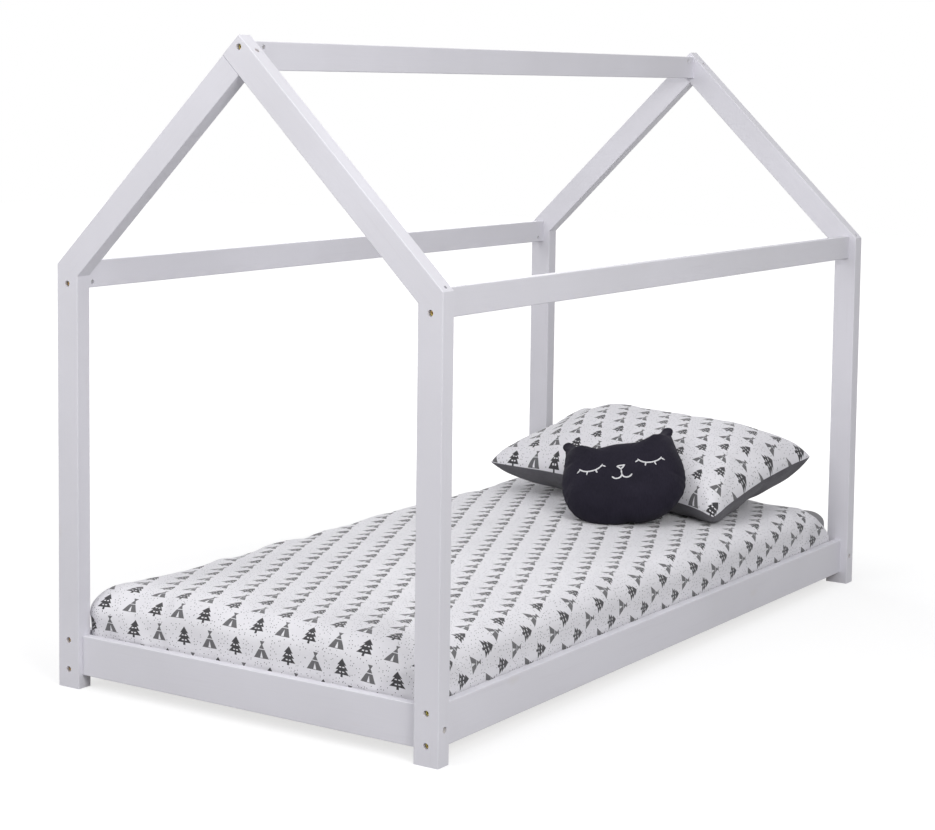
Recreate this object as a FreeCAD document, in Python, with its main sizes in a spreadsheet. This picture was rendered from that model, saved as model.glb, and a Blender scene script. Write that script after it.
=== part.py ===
import FreeCAD, Part
import os
import re
from collections import defaultdict

import Sketcher

# A child's single bed shaped like the outline of a house. Two gabled end frames are joined by
# low side rails, eave rails and a ridge beam. A slatted base inside the side rails carries a
# mattress with its fitted sheet, a tucked-in duvet, a pillow and a small cat-shaped cushion.
# X runs across the bed, +Y towards the head and +Z up. The origin is on the floor, under the
# middle of the bed. Sizes are in millimetres and degrees.

SIZES = {
    # House frame
    "bed_width": 990,
    "bed_length": 1980,
    "post_height": 893,
    "roof_angle": 44.3,
    "frame_width": 58,
    "frame_thickness": 38,
    "rail_thickness": 20,
    "rail_height": 86,
    "rail_underside": 29,
    "end_rail_inset": 12,
    "eave_rail_height": 58,
    "ridge_height": 58,
    "ridge_drop": 12,
    "edge_round": 2,
    # Bolts with cross-dowel nuts
    "bolt_diameter": 6,
    "bolt_bore": 7,
    "bolt_tip": 7,
    "head_diameter": 10,
    "head_height": 6,
    "socket_flats": 5,
    "socket_depth": 3.5,
    "recess_bore": 13,
    "recess_depth": 13,
    "nut_diameter": 10,
    "nut_length": 13,
    "nut_setback": 30,
    "nut_slot": 1.2,
    "hole_clearance": 0.1,
    "rail_bolt_inset": 11,
    "beam_bolt_inset": 12,
    # Dowels and screws
    "dowel_diameter": 8,
    "dowel_length": 25,
    "dowel_chamfer": 1,
    "rail_dowel_rise": 25,
    "ridge_dowel_drop": 18.5,
    "apex_dowel_inset": 18,
    "foot_dowel_inset": 14,
    "apex_screw_inset": 44,
    "apex_screw_diameter": 7,
    "apex_screw_grip": 35,
    "foot_screw_inset": 11,
    "foot_screw_diameter": 5,
    "foot_screw_length": 40,
    "foot_screw_head": 7.5,
    "foot_screw_recess": 20,
    "small_screw_diameter": 4,
    "small_screw_head": 7.5,
    "small_screw_head_height": 3,
    "ledge_screw_length": 35,
    "ledge_screw_margin": 102,
    "slat_screw_length": 25,
    "tack_diameter": 1.6,
    "tack_head": 7,
    "tack_head_height": 1,
    "tack_grip": 8,
    # Slatted base
    "ledge_width": 20,
    "ledge_height": 20,
    "ledge_lift": 1,
    "ledge_end_gap": 5,
    "slat_width": 70,
    "slat_thickness": 12,
    "slat_end_gap": 2,
    "strap_width": 25,
    "strap_thickness": 1,
    "strap_inset": 60,
    # Bedding
    "rest_gap": 0.3,
    "mattress_side_gap": 16,
    "mattress_end_gap": 12,
    "mattress_height": 130,
    "mattress_corner": 45,
    "mattress_edge": 30,
    "sheet_thickness": 1.5,
    "sheet_hem_lift": 15,
    "duvet_gap": 0.5,
    "duvet_rail_gap": 4,
    "duvet_post_gap": 2,
    "duvet_hem_lift": 14,
    "duvet_top": 22,
    "duvet_crown": 7,
    "duvet_shoulder": 44,
    "duvet_end_reach": 70,
    "duvet_end_drop": 50,
    "duvet_end_narrow": 16,
    "duvet_head_gap": 50,
    # Pillow and cushion
    "pillow_width": 732,
    "pillow_depth": 440,
    "pillow_rise": 98,
    "pillow_sag": 80,
    "pillow_draw": 20,
    "pillow_flat": 8,
    "pillow_x": 32,
    "pillow_head_gap": 290,
    "pillow_turn": 5,
    "pillow_tilt": 11,
    "pillow_roll": 2,
    "cat_width": 310,
    "cat_face_height": 222,
    "cat_ear_rise": 50,
    "cat_bulge": 56,
    "cat_flat": 6,
    "cat_x": 130,
    "cat_turn": 17,
    "cat_lean": 51,
    "cat_roll": 12,
}
SLAT_COUNT = 14
LEDGE_SCREW_COUNT = 7

# Lines that several pieces share, from the sizes above
HALF_WIDTH = "bed_width / 2"
HALF_LENGTH = "bed_length / 2"
POST_X = "(bed_width - frame_width) / 2"
POST_Y = "(bed_length - frame_thickness) / 2"
INNER_Y = "(bed_length / 2 - frame_thickness)"
RAIL_FACE_X = "((bed_width - frame_width - rail_thickness) / 2)"
END_RAIL_Y = "(bed_length / 2 - end_rail_inset - rail_thickness / 2)"
NOSE = "(frame_width / cos(roof_angle) - frame_width * tan(roof_angle))"
APEX = f"(post_height + {NOSE} + bed_width / 2 * tan(roof_angle))"
INNER_PEAK = "(post_height + (bed_width / 2 - frame_width) * tan(roof_angle))"
NOTCH_X = f"({NOSE} / tan(roof_angle) + frame_width) / 2"
NOTCH_Z = f"({APEX} - {NOTCH_X} * tan(roof_angle))"
EAVE_UNDERSIDE = "(post_height - eave_rail_height / 2)"
RIDGE_BOLT_Z = f"({APEX} - ridge_drop - beam_bolt_inset)"
LEDGE_Z = "(rail_underside + ledge_lift)"
SLAT_Z = f"({LEDGE_Z} + ledge_height)"
SLAT_TOP = f"({SLAT_Z} + slat_thickness)"
MATTRESS_Z = f"({SLAT_TOP} + rest_gap)"
MATTRESS_TOP = f"({MATTRESS_Z} + mattress_height)"
MATTRESS_HALF_X = f"({RAIL_FACE_X} - mattress_side_gap)"
MATTRESS_HALF_Y = f"({INNER_Y} - mattress_end_gap)"
STRAP_X = f"({RAIL_FACE_X} - ledge_width - strap_inset)"

ENDS = {"foot": -1, "head": 1}
SIDES = {"left": -1, "right": 1}
# The turn that points a hole or fastener, made along +Z, the way its name says
TURNS = {
    "+X": ((0, 1, 0), "90"),
    "-X": ((0, -1, 0), "90"),
    "+Y": ((-1, 0, 0), "90"),
    "-Y": ((1, 0, 0), "90"),
    "+Z": ((0, 0, 1), "0"),
    "-Z": ((1, 0, 0), "180"),
    "into left slope": ((0, 1, 0), "180 - roof_angle"),
    "into right slope": ((0, -1, 0), "180 - roof_angle"),
}

Vector = FreeCAD.Vector
document = FreeCAD.newDocument("HouseFrameBed")
sheet = document.addObject("Spreadsheet::Sheet", "Sizes")
blanks = {}
bores = defaultdict(list)
hardware = defaultdict(list)
nodes = {}


# ---- Sheet and expressions ----


def fill_sheet():
    """Puts each size in a cell of its own and gives the cell the size's name."""
    for row, (name, number) in enumerate(SIZES.items(), start=1):
        sheet.set(f"A{row}", name)
        sheet.set(f"B{row}", str(number))
        sheet.setAlias(f"B{row}", name)
    document.recompute()


def expression(text):
    """Points each size named in the text at its cell."""
    return re.sub(
        r"[a-z][a-z_]*",
        lambda word: f"Sizes.{word.group()}" if word.group() in SIZES else word.group(),
        text,
    )


def size(text):
    """The number that an expression of sizes comes to."""
    return float(sheet.evalExpression(expression(text)))


def bind(thing, rules):
    """Ties properties of a thing to expressions of sizes."""
    for name, text in rules.items():
        thing.setExpression(name, expression(text))


def place(thing, x, y, z):
    bind(thing, {"Placement.Base.x": x, "Placement.Base.y": y, "Placement.Base.z": z})


def signed(sign, text):
    return f"{sign} * ({text})"


# ---- Sawn timber ----


def sketch_on(body, name, role):
    """A sketch on one of the body's own origin planes."""
    sketch = body.newObject("Sketcher::SketchObject", name)
    plane = next(f for f in body.Origin.OriginFeatures if f.Role == role)
    sketch.AttachmentSupport = (plane, [""])
    sketch.MapMode = "FlatFace"
    return sketch


def draw_polygon(sketch, corners):
    """Closed outline with each corner held at its own distances from the sketch's origin."""
    points = [Vector(size(x), size(y), 0) for x, y in corners]
    count = len(points)
    for i, point in enumerate(points):
        sketch.addGeometry(Part.LineSegment(point, points[(i + 1) % count]), False)
    for i in range(count):
        sketch.addConstraint(Sketcher.Constraint("Coincident", i, 2, (i + 1) % count, 1))
    for i, (x, y) in enumerate(corners):
        for kind, text in (("DistanceX", x), ("DistanceY", y)):
            rule = Sketcher.Constraint(kind, -1, 1, i, 1, size(text))
            name = f"{kind}{i}"
            sketch.renameConstraint(sketch.addConstraint(rule), name)
            bind(sketch, {f"Constraints.{name}": text})


def edges_along(feature, directions):
    """Names of the feature's straight edges that run along any of the directions."""
    names = []
    for number, edge in enumerate(feature.Shape.Edges, start=1):
        run = edge.tangentAt(edge.FirstParameter)
        if any(run.cross(direction).Length < 1e-6 for direction in directions):
            names.append(f"Edge{number}")
    return names


def round_edges(body, base, name, names, radius):
    rounding = body.newObject("PartDesign::Fillet", name)
    rounding.Base = (base, names)
    bind(rounding, {"Radius": radius})
    body.Tip = rounding
    document.recompute()
    return rounding


def block(name, x_size, y_size, z_size):
    """A plain block with its underside centred on the body's origin, and its pad."""
    body = document.addObject("PartDesign::Body", name)
    outline = sketch_on(body, f"{name}_outline", "XY_Plane")
    x, y = f"({x_size}) / 2", f"({y_size}) / 2"
    draw_polygon(outline, [(f"-{x}", f"-{y}"), (x, f"-{y}"), (x, y), (f"-{x}", y)])
    pad = body.newObject("PartDesign::Pad", f"{name}_pad")
    pad.Profile = outline
    bind(pad, {"Length": z_size})
    body.Tip = pad
    document.recompute()
    return body, pad


def board(name, along, sizes, at):
    """A squared board with its long edges rounded. Its place is the middle of its underside."""
    body, pad = block(f"{name}_blank", *sizes)
    edges = edges_along(pad, [Vector(*along)])
    round_edges(body, pad, f"{name}_rounding", edges, "edge_round")
    place(body, *at)
    blanks[name] = body


def rafter(name, corners, end, slope):
    """A rafter cut from a board, in the upright plane of its end frame."""
    body = document.addObject("PartDesign::Body", f"{name}_blank")
    outline = sketch_on(body, f"{name}_outline", "XZ_Plane")
    draw_polygon(outline, corners)
    pad = body.newObject("PartDesign::Pad", f"{name}_pad")
    pad.Profile = outline
    pad.Midplane = True
    bind(pad, {"Length": "frame_thickness"})
    document.recompute()
    edges = edges_along(pad, [slope, Vector(0, 0, 1)])
    round_edges(body, pad, f"{name}_rounding", edges, "edge_round")
    place(body, "0", signed(end, POST_Y), "0")
    blanks[name] = body


def make_posts():
    for end_name, end in ENDS.items():
        for side_name, side in SIDES.items():
            board(
                f"post_{end_name}_{side_name}",
                (0, 0, 1),
                ("frame_width", "frame_thickness", "post_height"),
                (signed(side, POST_X), signed(end, POST_Y), "0"),
            )


def make_rafters():
    """The right rafter runs on to the apex, and the left one butts against its lower edge."""
    foot, nose = (HALF_WIDTH, "post_height"), (HALF_WIDTH, f"post_height + {NOSE}")
    inner_foot = (f"({HALF_WIDTH} - frame_width)", "post_height")
    notch, peak = (f"-({NOTCH_X})", NOTCH_Z), ("0", INNER_PEAK)
    mirror = [(signed(-1, x), z) for x, z in (foot, nose, inner_foot)]
    right = [foot, nose, ("0", APEX), notch, inner_foot]
    left = [mirror[0], mirror[1], notch, peak, mirror[2]]
    rise = size("tan(roof_angle)")
    for end_name, end in ENDS.items():
        rafter(f"rafter_{end_name}_right", right, end, Vector(-1, 0, rise).normalize())
        rafter(f"rafter_{end_name}_left", left, end, Vector(1, 0, rise).normalize())


def make_rails():
    length = f"2 * {INNER_Y}"
    for side_name, side in SIDES.items():
        x = signed(side, POST_X)
        board(
            f"side_rail_{side_name}",
            (0, 1, 0),
            ("rail_thickness", length, "rail_height"),
            (x, "0", "rail_underside"),
        )
        board(
            f"eave_rail_{side_name}",
            (0, 1, 0),
            ("rail_thickness", length, "eave_rail_height"),
            (x, "0", EAVE_UNDERSIDE),
        )
    for end_name, end in ENDS.items():
        board(
            f"{end_name}_rail",
            (1, 0, 0),
            ("bed_width - 2 * frame_width", "rail_thickness", "rail_height"),
            ("0", signed(end, END_RAIL_Y), "rail_underside"),
        )
    board(
        "ridge_beam",
        (0, 1, 0),
        ("rail_thickness", length, "ridge_height"),
        ("0", "0", f"{APEX} - ridge_drop - ridge_height"),
    )


def slat_y(number):
    """Middle of a slat, with the first and last slats flush with the mattress's ends."""
    pitch = f"(2 * {MATTRESS_HALF_Y} - slat_width) / {SLAT_COUNT - 1}"
    return f"({number} * {pitch} - {MATTRESS_HALF_Y} + slat_width / 2)"


def make_slatted_base():
    for side_name, side in SIDES.items():
        board(
            f"slat_ledge_{side_name}",
            (0, 1, 0),
            ("ledge_width", f"2 * ({INNER_Y} - ledge_end_gap)", "ledge_height"),
            (signed(side, f"{RAIL_FACE_X} - ledge_width / 2"), "0", LEDGE_Z),
        )
        strap, _ = block(
            f"slat_strap_{side_name}_blank",
            "strap_width",
            f"2 * {MATTRESS_HALF_Y}",
            "strap_thickness",
        )
        place(strap, signed(side, STRAP_X), "0", f"{SLAT_Z} - strap_thickness")
        blanks[f"slat_strap_{side_name}"] = strap
    for number in range(SLAT_COUNT):
        board(
            f"slat_{number + 1:02d}",
            (1, 0, 0),
            (f"2 * ({RAIL_FACE_X} - slat_end_gap)", "slat_width", "slat_thickness"),
            ("0", slat_y(number), SLAT_Z),
        )


# ---- Holes and fasteners ----


def bore(name, diameter, depth, at, facing, pieces):
    """A round hole from its mouth inwards, cut out of each of the pieces."""
    axis, angle = TURNS[facing]
    tool = document.addObject("Part::Cylinder", name)
    tool.Placement = FreeCAD.Placement(Vector(), FreeCAD.Rotation(Vector(*axis), 90))
    bind(tool, {"Radius": f"({diameter}) / 2", "Height": depth, "Placement.Rotation.Angle": angle})
    place(tool, *at)
    for piece in pieces:
        bores[piece].append(tool)


def set_in(shape, at, facing):
    """A copy of a shape made along +Z, moved to a hole's mouth and turned into the hole."""
    axis, angle = TURNS[facing]
    turn = FreeCAD.Rotation(Vector(*axis), size(angle))
    moved = shape.copy()
    moved.Placement = FreeCAD.Placement(Vector(*(size(text) for text in at)), turn)
    return moved


def turned(profile):
    """A solid turned about Z from (radius, height) points."""
    points = [Vector(radius, 0, height) for radius, height in profile]
    face = Part.Face(Part.makePolygon(points + points[:1]))
    return face.revolve(Vector(), Vector(0, 0, 1), 360)


def hexagon_socket(mouth, depth):
    """A hexagon socket's space, from its mouth up to its floor."""
    radius = size("socket_flats") / 2 / size("cos(30)")
    corners = [Vector(radius, 0, mouth)]
    corner_turn = FreeCAD.Rotation(Vector(0, 0, 1), 60)
    for _ in range(5):
        corners.append(corner_turn.multVec(corners[-1]))
    face = Part.Face(Part.makePolygon(corners + corners[:1]))
    return face.extrude(Vector(0, 0, depth))


def headed(head_top, head_height, head_diameter, shank_diameter, length, tip):
    """A cylinder-headed bolt or screw along +Z, its head's outer end at head_top."""
    head, shank, seat = head_diameter / 2, shank_diameter / 2, head_top + head_height
    end = seat + length
    blunt = shank * 0.2 if tip else shank
    return turned(
        [
            (0, head_top),
            (head, head_top),
            (head, seat),
            (shank, seat),
            (shank, end - tip),
            (blunt, end),
            (0, end),
        ]
    )


def bolt(through):
    """A socket-headed bolt that passes through a piece and its cross-dowel nut."""
    head_top = size("recess_depth - head_height")
    length = size(f"{through} - recess_depth + nut_setback + bolt_tip")
    solid = headed(
        head_top, size("head_height"), size("head_diameter"), size("bolt_diameter"), length, 0
    )
    return solid.cut(hexagon_socket(head_top, size("socket_depth")))


def cross_nut():
    """A cross-dowel nut in the middle of a rail's thickness, slotted at its open end."""
    start = size("(rail_thickness - nut_length) / 2")
    length, radius, slot = size("nut_length"), size("nut_diameter") / 2, size("nut_slot")
    barrel = Part.makeCylinder(radius, length, Vector(0, 0, start))
    groove = Part.makeBox(2 * radius, slot, slot, Vector(-radius, -slot / 2, start))
    return barrel.cut(groove)


def dowel():
    """A fluted pin's plain outer shape, half of it each side of the joint."""
    half, radius, chamfer = (
        size("dowel_length / 2"),
        size("dowel_diameter / 2"),
        size("dowel_chamfer"),
    )
    return turned(
        [
            (0, -half),
            (radius - chamfer, -half),
            (radius, chamfer - half),
            (radius, half - chamfer),
            (radius - chamfer, half),
            (0, half),
        ]
    )


def add_bolt(name, group, at, facing, through, pieces, nut_at, nut_facing):
    """A sunk bolt through the first piece, and the nut in the second that it pulls on."""
    outer, inner = pieces
    depth = f"{through} + nut_setback + bolt_tip + hole_clearance"
    bore(f"{name}_bore", "bolt_bore", depth, at, facing, pieces)
    bore(f"{name}_recess", "recess_bore", "recess_depth", at, facing, [outer])
    nut_depth = "(rail_thickness + nut_length) / 2 + hole_clearance"
    nut_bore = "nut_diameter + 2 * hole_clearance"
    bore(f"{name}_nut_bore", nut_bore, nut_depth, nut_at, nut_facing, [inner])
    hardware[group].append(set_in(bolt(through), at, facing))
    thread = Part.makeCylinder(size("bolt_diameter / 2 + hole_clearance"), size(depth))
    nut = set_in(cross_nut(), nut_at, nut_facing)
    hardware["barrel_nuts"].append(nut.cut(set_in(thread, at, facing)))


def add_dowel(name, at, facing, pieces):
    """A dowel centred on the joint of two pieces."""
    axis, angle = TURNS[facing]
    way = FreeCAD.Rotation(Vector(*axis), size(angle)).multVec(Vector(0, 0, 1))
    reach = "(dowel_length / 2 + hole_clearance)"
    mouth = [f"{text} - {step:.12f} * {reach}" for text, step in zip(at, way)]
    diameter = "dowel_diameter + 2 * hole_clearance"
    bore(f"{name}_bore", diameter, f"2 * {reach}", mouth, facing, pieces)
    hardware["wooden_dowels"].append(set_in(dowel(), at, facing))


def add_screw(name, group, at, facing, pieces, sizes):
    """A wood screw or tack. Its sizes are recess, head height, head, shank, length and tip."""
    recess, head_height, head, shank, length, tip = sizes
    numbers = [size(text) for text in (recess, head_height, head, shank, length, tip)]
    solid = headed(numbers[0] - numbers[1], *numbers[1:])
    if tip != "0":
        depth = min(size("socket_depth"), numbers[1] * 0.6)
        if numbers[2] > size("socket_flats") * 1.3:
            solid = solid.cut(hexagon_socket(numbers[0] - numbers[1], depth))
    hardware[group].append(set_in(solid, at, facing))
    shank_bore, clear = f"{shank} + 2 * hole_clearance", "hole_clearance"
    bore(f"{name}_bore", shank_bore, f"{recess} + {length} + {clear}", at, facing, pieces)
    if numbers[0] > 0:
        head_bore = f"{head} + 2 * hole_clearance"
        bore(f"{name}_recess", head_bore, recess, at, facing, [pieces[0]])


def fasten_rails():
    """Bolts, nuts and dowels that join the side, eave and end rails to the posts."""
    for end_name, end in ENDS.items():
        inwards = "+Y" if end < 0 else "-Y"
        nut_y = signed(end, f"{INNER_Y} - nut_setback")
        for side_name, side in SIDES.items():
            post = f"post_{end_name}_{side_name}"
            outwards, across = ("+X", "-X") if side > 0 else ("-X", "+X")
            x, nut_x = signed(side, POST_X), signed(side, RAIL_FACE_X)
            heights = {
                f"side_rail_{side_name}": [
                    "rail_underside + rail_bolt_inset",
                    "rail_underside + rail_height - rail_bolt_inset",
                ],
                f"eave_rail_{side_name}": [f"{EAVE_UNDERSIDE} + beam_bolt_inset"],
            }
            for rail, levels in heights.items():
                for number, z in enumerate(levels, start=1):
                    add_bolt(
                        f"{rail}_{end_name}_bolt{number}",
                        "rail_bolts",
                        (x, signed(end, HALF_LENGTH), z),
                        inwards,
                        "frame_thickness",
                        (post, rail),
                        (nut_x, nut_y, z),
                        outwards,
                    )
            middle = "rail_underside + rail_height / 2"
            add_bolt(
                f"{end_name}_rail_{side_name}_bolt",
                "end_rail_bolts",
                (signed(side, HALF_WIDTH), signed(end, END_RAIL_Y), middle),
                across,
                "frame_width",
                (post, f"{end_name}_rail"),
                (
                    signed(side, f"{HALF_WIDTH} - frame_width - nut_setback"),
                    signed(end, f"{END_RAIL_Y} - rail_thickness / 2"),
                    middle,
                ),
                "-Y" if end < 0 else "+Y",
            )
            for level, z_step in (("lower", -1), ("upper", 1)):
                z = f"{middle} + {z_step} * rail_dowel_rise"
                add_dowel(
                    f"{end_name}_rail_{side_name}_{level}_dowel",
                    (signed(side, f"{HALF_WIDTH} - frame_width"), signed(end, END_RAIL_Y), z),
                    "+X",
                    (post, f"{end_name}_rail"),
                )


def fasten_roof():
    """Bolts, screws and dowels at the eaves and along the ridge."""
    for end_name, end in ENDS.items():
        y = signed(end, POST_Y)
        right, left = f"rafter_{end_name}_right", f"rafter_{end_name}_left"
        add_bolt(
            f"ridge_{end_name}_bolt",
            "rail_bolts",
            ("0", signed(end, HALF_LENGTH), RIDGE_BOLT_Z),
            "+Y" if end < 0 else "-Y",
            "frame_thickness",
            (right, "ridge_beam"),
            ("rail_thickness / 2", signed(end, f"{INNER_Y} - nut_setback"), RIDGE_BOLT_Z),
            "-X",
        )
        add_dowel(
            f"ridge_{end_name}_dowel",
            ("0", signed(end, INNER_Y), f"{RIDGE_BOLT_Z} - ridge_dowel_drop"),
            "+Y",
            (right, "ridge_beam"),
        )
        add_dowel(
            f"apex_{end_name}_dowel",
            (
                f"apex_dowel_inset * cos(roof_angle) - {NOTCH_X}",
                y,
                f"{NOTCH_Z} - apex_dowel_inset * sin(roof_angle)",
            ),
            "into right slope",
            (right, left),
        )
        add_screw(
            f"apex_{end_name}_screw",
            "apex_screws",
            (
                "apex_screw_inset * cos(roof_angle)",
                y,
                f"{APEX} - apex_screw_inset * sin(roof_angle)",
            ),
            "into right slope",
            (right, left),
            (
                "recess_depth",
                "head_height",
                "head_diameter",
                "apex_screw_diameter",
                "(frame_width - recess_depth + apex_screw_grip)",
                "apex_screw_diameter",
            ),
        )
        for side_name, side in SIDES.items():
            post, rafter_name = f"post_{end_name}_{side_name}", f"rafter_{end_name}_{side_name}"
            rail = f"eave_rail_{side_name}"
            add_dowel(
                f"eave_{end_name}_{side_name}_dowel",
                (
                    signed(side, POST_X),
                    signed(end, INNER_Y),
                    "post_height + eave_rail_height / 2 - beam_bolt_inset",
                ),
                "+Y",
                (rafter_name, rail),
            )
            add_dowel(
                f"rafter_{end_name}_{side_name}_dowel",
                (signed(side, f"{HALF_WIDTH} - foot_dowel_inset"), y, "post_height"),
                "+Z",
                (post, rafter_name),
            )
            add_screw(
                f"rafter_{end_name}_{side_name}_screw",
                "rafter_foot_screws",
                (
                    signed(side, f"{HALF_WIDTH} - foot_screw_inset * cos(roof_angle)"),
                    y,
                    f"post_height + {NOSE} + foot_screw_inset * sin(roof_angle)",
                ),
                f"into {side_name} slope",
                (rafter_name, post),
                (
                    "foot_screw_recess",
                    "small_screw_head_height",
                    "foot_screw_head",
                    "foot_screw_diameter",
                    "foot_screw_length",
                    "foot_screw_diameter",
                ),
            )


def fasten_slatted_base():
    """Screws that hold the ledges and the end slats, and tacks that hold the straps."""
    small = ("small_screw_head_height", "small_screw_head_height", "small_screw_head")
    for side_name, side in SIDES.items():
        ledge, strap = f"slat_ledge_{side_name}", f"slat_strap_{side_name}"
        reach = f"({INNER_Y} - ledge_screw_margin)"
        for number in range(LEDGE_SCREW_COUNT):
            share = 2 * number / (LEDGE_SCREW_COUNT - 1) - 1
            add_screw(
                f"{ledge}_screw{number + 1}",
                "ledge_screws",
                (
                    signed(side, f"{RAIL_FACE_X} - ledge_width"),
                    f"{share:.12f} * {reach}",
                    f"{LEDGE_Z} + ledge_height / 2",
                ),
                "+X" if side > 0 else "-X",
                (ledge, f"side_rail_{side_name}"),
                (*small, "small_screw_diameter", "ledge_screw_length", "small_screw_diameter"),
            )
        for number in (0, SLAT_COUNT - 1):
            add_screw(
                f"slat{number + 1}_{side_name}_screw",
                "slat_screws",
                (signed(side, f"{RAIL_FACE_X} - ledge_width / 2"), slat_y(number), SLAT_TOP),
                "-Z",
                (f"slat_{number + 1:02d}", ledge),
                (*small, "small_screw_diameter", "slat_screw_length", "small_screw_diameter"),
            )
        for number in range(SLAT_COUNT):
            add_screw(
                f"slat{number + 1}_{side_name}_tack",
                "strap_tacks",
                (signed(side, STRAP_X), slat_y(number), f"{SLAT_Z} - strap_thickness"),
                "+Z",
                (strap, f"slat_{number + 1:02d}"),
                (
                    "0",
                    "tack_head_height",
                    "tack_head",
                    "tack_diameter",
                    "(strap_thickness + tack_grip)",
                    "tack_diameter",
                ),
            )


def drill_pieces():
    """Cuts each piece's holes out of its blank. A piece with no holes is its blank."""
    for name, body in blanks.items():
        tools = bores[name]
        if not tools:
            nodes[name] = body
            continue
        if len(tools) > 1:
            holes = document.addObject("Part::MultiFuse", f"{name}_holes")
            holes.Shapes = tools
        else:
            holes = tools[0]
        drilled = document.addObject("Part::Cut", f"{name}_drilled")
        drilled.Base = body
        drilled.Tool = holes
        nodes[name] = drilled


def make_hardware():
    for name, solids in hardware.items():
        group = document.addObject("Part::Feature", f"{name}_group")
        group.Shape = Part.makeCompound(solids)
        group.Placement = FreeCAD.Placement()
        nodes[name] = group


# ---- Mattress and bedding ----


def rounded_block(name, half_x, half_y, height, corner, edge, z, bottom_too):
    """A block with rounded upright corners and a rounded upper, and maybe lower, rim."""
    body, pad = block(name, f"2 * ({half_x})", f"2 * ({half_y})", height)
    uprights = edges_along(pad, [Vector(0, 0, 1)])
    corners = round_edges(body, pad, f"{name}_corners", uprights, corner)
    rims = [size(height)] + ([0] if bottom_too else [])
    names = [
        f"Edge{number}"
        for number, line in enumerate(corners.Shape.Edges, start=1)
        if any(abs(vertex.Z - rim) < 1e-6 for rim in rims for vertex in line.Vertexes[:1])
        and abs(line.Vertexes[0].Z - line.Vertexes[-1].Z) < 1e-6
    ]
    round_edges(body, corners, f"{name}_rim", names, edge)
    place(body, "0", "0", z)
    return body


def make_mattress():
    nodes["mattress"] = rounded_block(
        "mattress_block",
        MATTRESS_HALF_X,
        MATTRESS_HALF_Y,
        "mattress_height",
        "mattress_corner",
        "mattress_edge",
        MATTRESS_Z,
        True,
    )


def make_fitted_sheet():
    """A thin cover over the mattress's top and sides."""
    shapes = []
    for name, gap, z in (
        ("sheet_outside", "(hole_clearance + sheet_thickness)", "sheet_hem_lift"),
        ("sheet_inside", "hole_clearance", "0"),
    ):
        shapes.append(
            rounded_block(
                name,
                f"{MATTRESS_HALF_X} + {gap}",
                f"{MATTRESS_HALF_Y} + {gap}",
                f"mattress_height + {gap} - {z}",
                f"mattress_corner + {gap}",
                f"mattress_edge + {gap}",
                f"{MATTRESS_Z} + {z}",
                False,
            )
        )
    cover = document.addObject("Part::Cut", "fitted_sheet_cover")
    cover.Base, cover.Tool = shapes
    nodes["fitted_sheet"] = cover


def arc(start, middle, end):
    return Part.Arc(start, middle, end).toShape()


def line(start, end):
    return Part.LineSegment(start, end).toShape()


def duvet_section(half, top, hem):
    """An upright cut across the duvet: straight sides, round shoulders and a crowned top."""
    shoulder, crown = size("duvet_shoulder"), size("duvet_crown")
    reach = half - shoulder
    # The shoulder's arc runs smoothly into the crown's, whose centre is far below
    inner_radius = (reach**2 + crown**2) / (2 * crown)
    shoulder_z = top - crown - shoulder
    centre = Vector(0, 0, top - shoulder - inner_radius)
    sides = []
    for sign in (1, -1):
        middle = Vector(sign * reach, 0, shoulder_z)
        lean = (middle - centre).normalize()
        diagonal = (lean + Vector(sign, 0, 0)).normalize()
        sides.append(
            (
                Vector(sign * half, 0, hem),
                Vector(sign * half, 0, shoulder_z),
                middle + diagonal * shoulder,
                middle + lean * shoulder,
            )
        )
    right, left = sides
    return Part.Wire(
        [
            line(left[0], right[0]),
            line(right[0], right[1]),
            arc(right[1], right[2], right[3]),
            arc(right[3], Vector(0, 0, top), left[3]),
            arc(left[3], left[2], left[1]),
            line(left[1], left[0]),
        ]
    )


def duvet_end(half, top, hem, start, finish):
    """The duvet's foot end, which curves down and inwards over a quarter of an ellipse."""
    drop, narrow = size("duvet_end_drop"), size("duvet_end_narrow")
    wires = []
    for step in range(6):
        rise, run = size(f"sin({18 * step})"), size(f"cos({18 * step})")
        wire = duvet_section(half - narrow * (1 - rise), top - drop * (1 - rise), hem)
        wire.translate(Vector(0, start + (finish - start) * (1 - run), 0))
        wires.append(wire)
    return Part.makeLoft(wires, True, False)


def duvet_shape():
    """The duvet over the mattress, tucked in between it and the rails at the sides and foot."""
    half = size(f"{RAIL_FACE_X} - duvet_rail_gap")
    foot = -size(f"{INNER_Y} - duvet_post_gap")
    head = size(f"{MATTRESS_HALF_Y} - duvet_head_gap")
    top = size(f"{MATTRESS_TOP} + duvet_top")
    hem = size(f"{MATTRESS_Z} + duvet_hem_lift")
    flat_start = foot + size("duvet_end_reach")
    profile = Part.Face(duvet_section(half, top, hem))
    profile.translate(Vector(0, flat_start, 0))
    outside = profile.extrude(Vector(0, head - flat_start, 0))
    outside = outside.fuse(duvet_end(half, top, hem, foot, flat_start))
    gap = "(hole_clearance + sheet_thickness + duvet_gap)"
    inner_x, inner_y = size(f"{MATTRESS_HALF_X} + {gap}"), size(f"{MATTRESS_HALF_Y} + {gap}")
    ceiling, margin = size(f"{MATTRESS_TOP} + {gap}"), size("duvet_shoulder")
    room = Part.makeBox(
        2 * inner_x,
        inner_y + head + margin,
        ceiling - hem + margin,
        Vector(-inner_x, -inner_y, hem - margin),
    )
    uprights = [
        edge
        for edge in room.Edges
        if abs(edge.tangentAt(0).z) > 0.9 and edge.Vertexes[0].Y < head
    ]
    room = room.makeFillet(size(f"mattress_corner + {gap}"), uprights)
    rim = [
        edge
        for edge in room.Edges
        if all(abs(vertex.Z - ceiling) < 1e-6 for vertex in edge.Vertexes)
        and edge.CenterOfMass.y < head
    ]
    return outside.cut(room.makeFillet(size(f"mattress_edge + {gap}"), rim)).Solids[0]


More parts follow.
